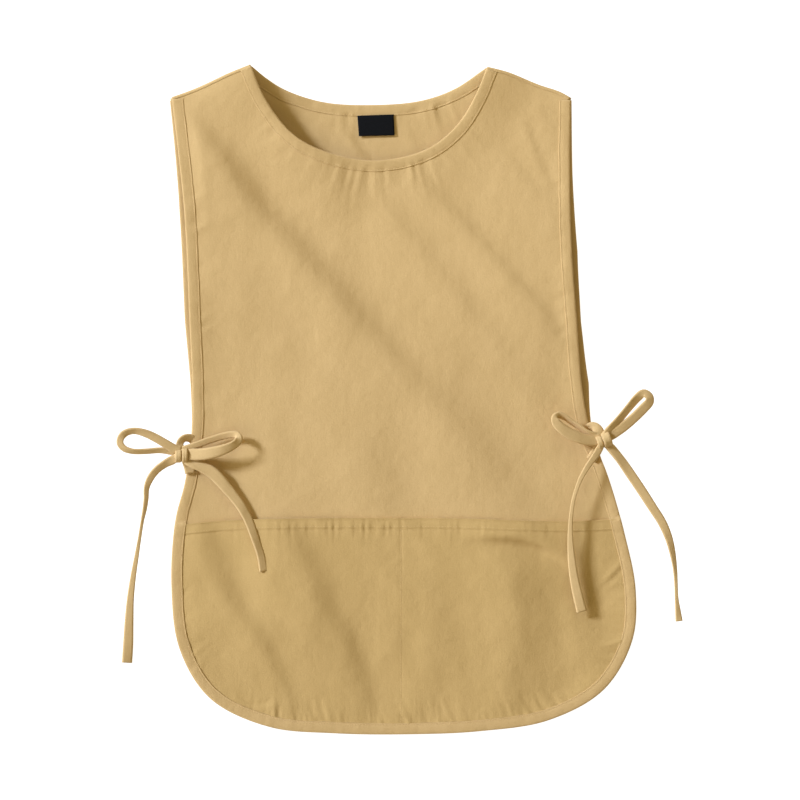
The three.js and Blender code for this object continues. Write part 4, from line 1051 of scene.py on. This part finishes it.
# Points of each tie from its knot outwards, and back to it for a loop: board square right and
# down, height above the floor, turn of the tape about its length in degrees, and its width.
tieRows = {
    "left_outer_loop": [
        (181, 450, 15, -4, 11), (174, 448.4, 16, -10, 10), (166, 443.6, 17.5, -12, 9.4),
        (155, 437.2, 19, -16, 9.2), (145, 432.8, 20, -30, 9.2), (135, 430.8, 20, -44, 9.2),
        (126.5, 432.6, 19.5, -34, 8.6), (121.4, 437.6, 18.5, -6, 7.6), (120.6, 443.4, 17.5, 10, 7.4),
        (124.6, 448.4, 16.5, 26, 7.4), (133, 451.2, 15.5, 42, 7.6), (146, 451.2, 14.5, 42, 7.6),
        (160, 450.2, 14, 38, 7.6), (172, 451.4, 13.5, 20, 8.4), (181, 453, 13.5, 0, 10)],
    "left_inner_loop": [
        (181, 450, 15, 0, 9), (190, 447.4, 14.6, 6, 7.6), (205, 441.8, 14, 14, 7.4),
        (219, 437.2, 14, 16, 7.4), (230, 434.6, 15.4, 14, 7.4), (236.6, 434.6, 17.6, 6, 7.6),
        (239.4, 438.2, 20.6, -8, 8), (235.8, 443.6, 23.4, -22, 9.4), (226, 448.6, 24.4, -18, 11),
        (213, 452.4, 22.8, -6, 12.4), (200, 454.2, 19.6, 2, 12.6), (190, 454, 16.6, 2, 12),
        (181, 453, 13.5, 0, 11)],
    "left_outer_tail": [
        (181, 455, 13.5, 0, 11), (173, 459.6, 12.6, -8, 10), (165, 463.8, 12, -26, 9),
        (156, 470.6, 11, -22, 8.2), (149.8, 479, 10, -14, 7.6), (146.4, 488, 9, -18, 6.2),
        (145.8, 499, 8.5, -20, 5.4), (144.4, 509, 8, -20, 4.8), (142, 521, 7.5, -18, 3.6),
        (139.4, 537, 7, -8, 3.6), (136.4, 555, 6.4, -2, 4.6), (133, 575, 5.8, 0, 5.8),
        (130, 598, 5, 0, 7.4), (128.4, 622, 3.6, -2, 9.4), (127.4, 645, 2.4, -6, 10.8),
        (126.2, 663.4, 1.6, -12, 11)],
    "left_inner_tail": [
        (182, 457, 14, 0, 12), (193.6, 462.9, 14.6, -10, 12), (202, 466.6, 14.8, -2, 12),
        (212, 472.4, 14.6, 4, 13), (220, 480, 14.2, 2, 13), (227, 488, 13.8, -8, 12),
        (233, 495.4, 13.6, -8, 11), (239.6, 504, 13.6, -12, 10.6), (245.4, 513.4, 13.8, -22, 10.4),
        (250, 523.4, 14.4, -16, 9.6), (254, 534.6, 14.6, -18, 9.2), (258, 545.7, 14.4, -24, 9),
        (261.4, 557, 14, -16, 8.8), (263.6, 571, 13.4, -14, 8.8)],
    "right_outer_loop": [
        (603, 438, 15, 0, 10), (608.6, 431, 17, 26, 10.4), (618.8, 419.2, 19.4, 42, 11),
        (628.8, 407, 21.2, 42, 11), (637, 397.4, 22.6, 26, 10), (643, 393, 23.4, 8, 8.4),
        (648.4, 396.6, 23, -12, 9), (648.6, 401.8, 22, -20, 10.4), (643.6, 407.6, 21, -18, 11),
        (633.8, 417.5, 19, -18, 11), (622.5, 427.2, 17, -16, 11), (612, 434.8, 15, -12, 10.4),
        (604, 441, 13.4, 0, 10)],
    "right_inner_loop": [
        (604, 441, 13.4, 0, 10), (597.4, 441, 14.6, 0, 11), (587.5, 439.6, 17, 6, 12),
        (577.5, 437, 19.4, 6, 12.4), (568.8, 433.2, 21, 4, 12), (561, 428, 22.4, -2, 11),
        (555.8, 422.6, 23.2, -8, 9.4), (554.4, 418.2, 23.8, 0, 8), (557.4, 415, 22, 26, 8),
        (563.6, 416.8, 19, 52, 10), (571, 421.8, 16.6, 60, 10.4), (580, 427.6, 15.8, 60, 10.4),
        (588.5, 433.4, 15.4, 50, 10), (603, 438, 15, 0, 10)],
    "right_inner_tail": [
        (603, 441, 14, 0, 10), (599, 449, 16, -8, 8), (594.6, 456, 17.6, -8, 7),
        (587.5, 466, 19, -6, 6), (581, 477, 20, 2, 5), (576.4, 488, 20.6, 4, 4.2),
        (573, 500, 20.6, 3, 4), (570.8, 514, 20.4, 1, 4.2), (569.9, 529, 20, 2, 5),
        (570.2, 545, 19.2, 3, 6.6), (571.4, 560, 18.4, 3, 8.2), (573.4, 575, 17.4, 2, 9.4),
        (576.8, 592, 16.4, 1, 10.4), (581.6, 611.4, 15.2, -4, 11)],
    "right_outer_tail": [
        (604, 441, 14, 0, 10), (610.6, 447.6, 13.4, -16, 10), (620, 459, 12.8, -24, 10.4),
        (630.5, 474, 12.2, -8, 10.4), (642, 491, 11.4, -2, 10.2), (653, 508, 10.6, -2, 9.8),
        (662, 522, 9.8, 0, 9.4), (668.6, 537, 9, -14, 8.6), (672.6, 552, 8.4, -22, 7.2),
        (675.2, 568, 7.8, -22, 5), (676.4, 584, 7.2, -6, 3.8), (677, 598, 6.8, -6, 4),
        (678.4, 611, 6.2, -12, 6), (679.6, 621.5, 5.6, -2, 7.6)],
    "left_back_tie": [
        (186, 455, 13, 0, 9), (181.4, 449, 12.6, 14, 8), (179.8, 443.4, 11.4, 20, 8),
        (183.4, 438.6, 10, 20, 8), (189.4, 438, 7.6, 6, 9), (194, 441, 5.4, 0, 10)],
    "left_front_tie": [
        (184, 456, 12, 0, 10), (186.4, 461, 11.6, -8, 10.6), (188.8, 466.5, 10.4, 0, 11),
        (190, 473, 9.2, 0, 11)],
    "right_back_tie": [
        (603, 440, 14, 0, 10), (600.6, 433.4, 15.4, 20, 10.6), (596.4, 428.4, 14.6, 12, 11),
        (592, 427, 12, -4, 11), (588, 429.6, 8.6, 0, 11)],
    "right_front_tie": [
        (602, 441, 13, 0, 10), (598.6, 447.4, 11.6, 0, 10.6), (595, 453.8, 10.0, 0, 11),
        (591, 460, 8.8, 0, 11)],
}
knots = {
    "left": {"at": (181.4, 455.4), "height": 13.4, "turn": 4, "half": 7.6, "round": 7.4,
             "wraps": [(-3.4, 3.4, 0.0), (3.6, 3.0, 1.0)]},
    "right": {"at": (603.2, 440.4), "height": 14.4, "turn": 24, "half": 7.4, "round": 7.6,
              "wraps": [(3.4, 4.6, 0.9), (-4.6, 3.0, -0.4)]},
}


# A flat tape along a tie's points: thin, a little hollow across, and drawn in at its knot.
def tapeSections(rows, middle):
    rows = np.asarray(rows, float)
    turnScale = 20   # keeps the turn from ruling how the line is rounded
    line = lineThrough(np.column_stack([
        onBoard(rows[:, :2]), rows[:, 2], rows[:, 3] / turnScale, rows[:, 4]]), 16)
    total = lengthsAlong(line[:, :3])[-1]
    along = np.linspace(0, total, max(6, round(total / ties["step"])) + 1)
    at = pointsAt(line[:, :3], along)
    turns, widths = line[:, 3], line[:, 4]
    before = lengthsAlong(line[:, :3])
    roll = np.radians(turnScale * np.interp(along, before, turns))
    run = np.gradient(at, axis=0)
    run /= np.linalg.norm(run, axis=1)[:, None]
    aside = np.stack([-run[:, 1], run[:, 0], np.zeros(len(run))], -1)
    aside /= np.linalg.norm(aside, axis=1)[:, None]
    turned = aside * np.cos(roll)[:, None] + np.cross(run, aside) * np.sin(roll)[:, None]
    normal = np.cross(run, turned)
    near = ramp(0, ties["gather"], np.linalg.norm(at[:, :2] - middle, axis=1))[:, None]
    half = np.interp(along, before, widths)[:, None] / 2 * (0.68 + 0.32 * near)
    ring = []
    for face in (1, -1):
        for u in np.linspace(-1, 1, 9) * face:
            rim = ties["wall"] / 2 * (0.45 if abs(u) == 1 else 1 + 0.25 * (abs(u) == 0.75))
            bow = 0.35 * (1 - u * u) + 0.8 * (1 - near) * (1 - u * u)
            ring.append(at + turned * half * u + normal * (bow + rim * face))
    return np.stack(ring, 1), total, float(half.mean() * 2)


for name, rows in tieRows.items():
    middle = onBoard(knots[name.split("_")[0]]["at"])
    sections, total, width = tapeSections(rows, middle)
    vertices, faces, uvs = stripShell(sections)
    tie = makeObject(name + "_tape", vertices, faces, tiePoplin, uvs, repair=True)
    finishPiece(tie, "tie", name)


# A knot: a soft filling with the tape wound round it. Wraps: place along the knot, half
# width, and how far it stands above the filling.
def knotMesh(knot):
    middle = onBoard(knot["at"])
    turn = math.radians(knot["turn"])
    vertices, faces, uvs = [], [], []

    def add(rings):
        part, shell, flat = stripShell(rings)
        faces.extend([[n + len(vertices) for n in face] for face in shell])
        vertices.extend(part.tolist())
        uvs.extend(flat.tolist())

    angles = np.linspace(0, 2 * math.pi, 33)[:-1]
    core = []
    for share in np.linspace(0.02, 0.98, 17):
        radius = math.sin(math.pi * share) ** 0.4
        core.append([(knot["half"] * (2 * share - 1), knot["round"] * 0.86 * radius * math.cos(a),
                      knot["round"] * 0.66 * radius * math.sin(a)) for a in angles])
    add(core)
    profile = [(-1, -0.5), (-0.96, 0.35), (-0.7, 0.75), (-0.25, 0.9), (0, 0.72), (0.25, 0.95),
               (0.7, 0.8), (0.96, 0.35), (1, -0.5), (0, -1.0)]
    for start, half, rise in knot["wraps"]:
        rings = []
        for a in np.append(angles, angles[0]):
            lean = 0.9 * math.sin(a + 0.6)
            flat = 1 + 0.04 * math.sin(3 * a + start)
            rings.append([
                (start + lean + half * u,
                 math.cos(a) * (knot["round"] * 0.9 * flat + rise + out),
                 math.sin(a) * (knot["round"] * 0.7 * flat + rise + out))
                for u, out in profile])
        add(rings)
    points = np.asarray(vertices)
    x = points[:, 0] * math.cos(turn) - points[:, 1] * math.sin(turn) + middle[0]
    y = points[:, 0] * math.sin(turn) + points[:, 1] * math.cos(turn) + middle[1]
    return np.column_stack([x, y, points[:, 2] + knot["height"]]), faces, uvs


for side, knot in knots.items():
    vertices, faces, uvs = knotMesh(knot)
    thing = makeObject(side + "_knot_tape", vertices, faces, tiePoplin, uvs, repair=True)
    finishPiece(thing, "tie", side + "_knot")
print("bows made")

# Stitches: from one to the next, the length and radius of each, and how far a row's middle
# stands above the tape, the pocket's hem and its divider seam.
stitch = {"spacing": 3.0, "length": 2.1, "radius": 0.24, "seed": 5,
          "overTape": 0.42, "overHem": 0.5, "overDivider": 0.1}


def stitchTree(material):
    tree = bpy.data.node_groups.new("stitchRun", "GeometryNodeTree")
    tree.is_modifier = True
    face = tree.interface
    for name, kind in (("Geometry", "Geometry"), ("Spacing", "Float"), ("Length", "Float"),
                       ("Radius", "Float"), ("Seed", "Int")):
        face.new_socket(name, in_out="INPUT", socket_type="NodeSocket" + kind)
    face.new_socket("Geometry", in_out="OUTPUT", socket_type="NodeSocketGeometry")

    def node(kind, settings, inputs):
        return addNode(tree, kind, settings, inputs).outputs

    given = node("NodeGroupInput", {}, {})
    points = node("GeometryNodeCurveToPoints", {"mode": "LENGTH"},
                  {"Curve": given["Geometry"], "Length": given["Spacing"]})
    aimed = node("FunctionNodeAlignRotationToVector", {"axis": "X"}, {"Vector": points["Tangent"]})
    bead = node("GeometryNodeMeshUVSphere", {}, {"Segments": 6, "Rings": 5, "Radius": 1.0})
    half = node("ShaderNodeMath", {"operation": "MULTIPLY"}, {0: given["Length"], 1: 0.5})
    size = node("ShaderNodeCombineXYZ", {}, {0: half[0], 1: given["Radius"], 2: given["Radius"]})
    shaped = node("GeometryNodeTransform", {}, {"Geometry": bead["Mesh"], "Scale": size[0]})
    wander = node("FunctionNodeRandomValue", {"data_type": "FLOAT"}, {"Seed": given["Seed"]})
    floats = [s for s in tree.nodes[-1].inputs if s.type == "VALUE" and s.enabled]
    floats[0].default_value, floats[1].default_value = 0.88, 1.12
    spread = next(s for s in tree.nodes[-1].outputs if s.type == "VALUE" and s.enabled)
    copies = node("GeometryNodeInstanceOnPoints", {}, {
        "Points": points["Points"], "Instance": shaped["Geometry"],
        "Rotation": aimed["Rotation"], "Scale": spread})
    real = node("GeometryNodeRealizeInstances", {}, {"Geometry": copies["Instances"]})
    smooth = node("GeometryNodeSetShadeSmooth", {}, {0: real["Geometry"]})
    painted = node("GeometryNodeSetMaterial", {}, {"Geometry": smooth[0], "Material": material})
    node("NodeGroupOutput", {}, {"Geometry": painted["Geometry"]})
    return tree


stitchGroup = stitchTree(thread)


def sewStitches(name, lines, slot):
    curve = bpy.data.curves.new(name + "_line", "CURVE")
    curve.dimensions = "3D"
    for line in lines:
        spline = curve.splines.new("POLY")
        spline.points.add(len(line) - 1)
        flat = np.column_stack([np.asarray(line) * mm, np.ones(len(line))])
        spline.points.foreach_set("co", flat.ravel())
    guide = bpy.data.objects.new(name + "_line", curve)
    scene.collection.objects.link(guide)
    modifier = guide.modifiers.new("stitches", "NODES")
    modifier.node_group = stitchGroup
    values = {"Spacing": stitch["spacing"] * mm, "Length": stitch["length"] * mm,
              "Radius": stitch["radius"] * mm, "Seed": stitch["seed"]}
    for item in stitchGroup.interface.items_tree:
        if item.item_type == "SOCKET" and item.in_out == "INPUT" and item.name in values:
            modifier[item.identifier] = values[item.name]
    graph = bpy.context.evaluated_depsgraph_get()
    mesh = bpy.data.meshes.new_from_object(guide.evaluated_get(graph))
    bpy.data.objects.remove(guide)
    thing = bpy.data.objects.new(name, mesh)
    scene.collection.objects.link(thing)
    finishPiece(thing, slot)


def rowOver(at, topOf, rise):
    return np.column_stack([at, topOf(at) + rise])


edgeRuns = []
for name in ("front_edge", "front_neck", "back_neck", "back_edge"):
    at = movedAside(boundPart(name, 0.002, 0.01), binding["seam"])
    edgeRuns.append(rowOver(at, boundEdges[name][1], stitch["overTape"]))
sewStitches("edge_stitches", edgeRuns, "binding")


def pocketFace(at):
    return pocketUnder(at) + body["cloth"]


hemRun = movedAside(partOf(pocketLine, 0.012, 0.988), 1.6 - pocket["hem"])
dividerRun = onBoard([(pocket["divider"], y) for y in np.linspace(518, 722, 90)])
sewStitches("pocket_stitches", [
    rowOver(hemRun, pocketFace, stitch["overHem"]),
    rowOver(dividerRun, pocketFace, stitch["overDivider"]),
], "pocket")
print("stitches sewn")
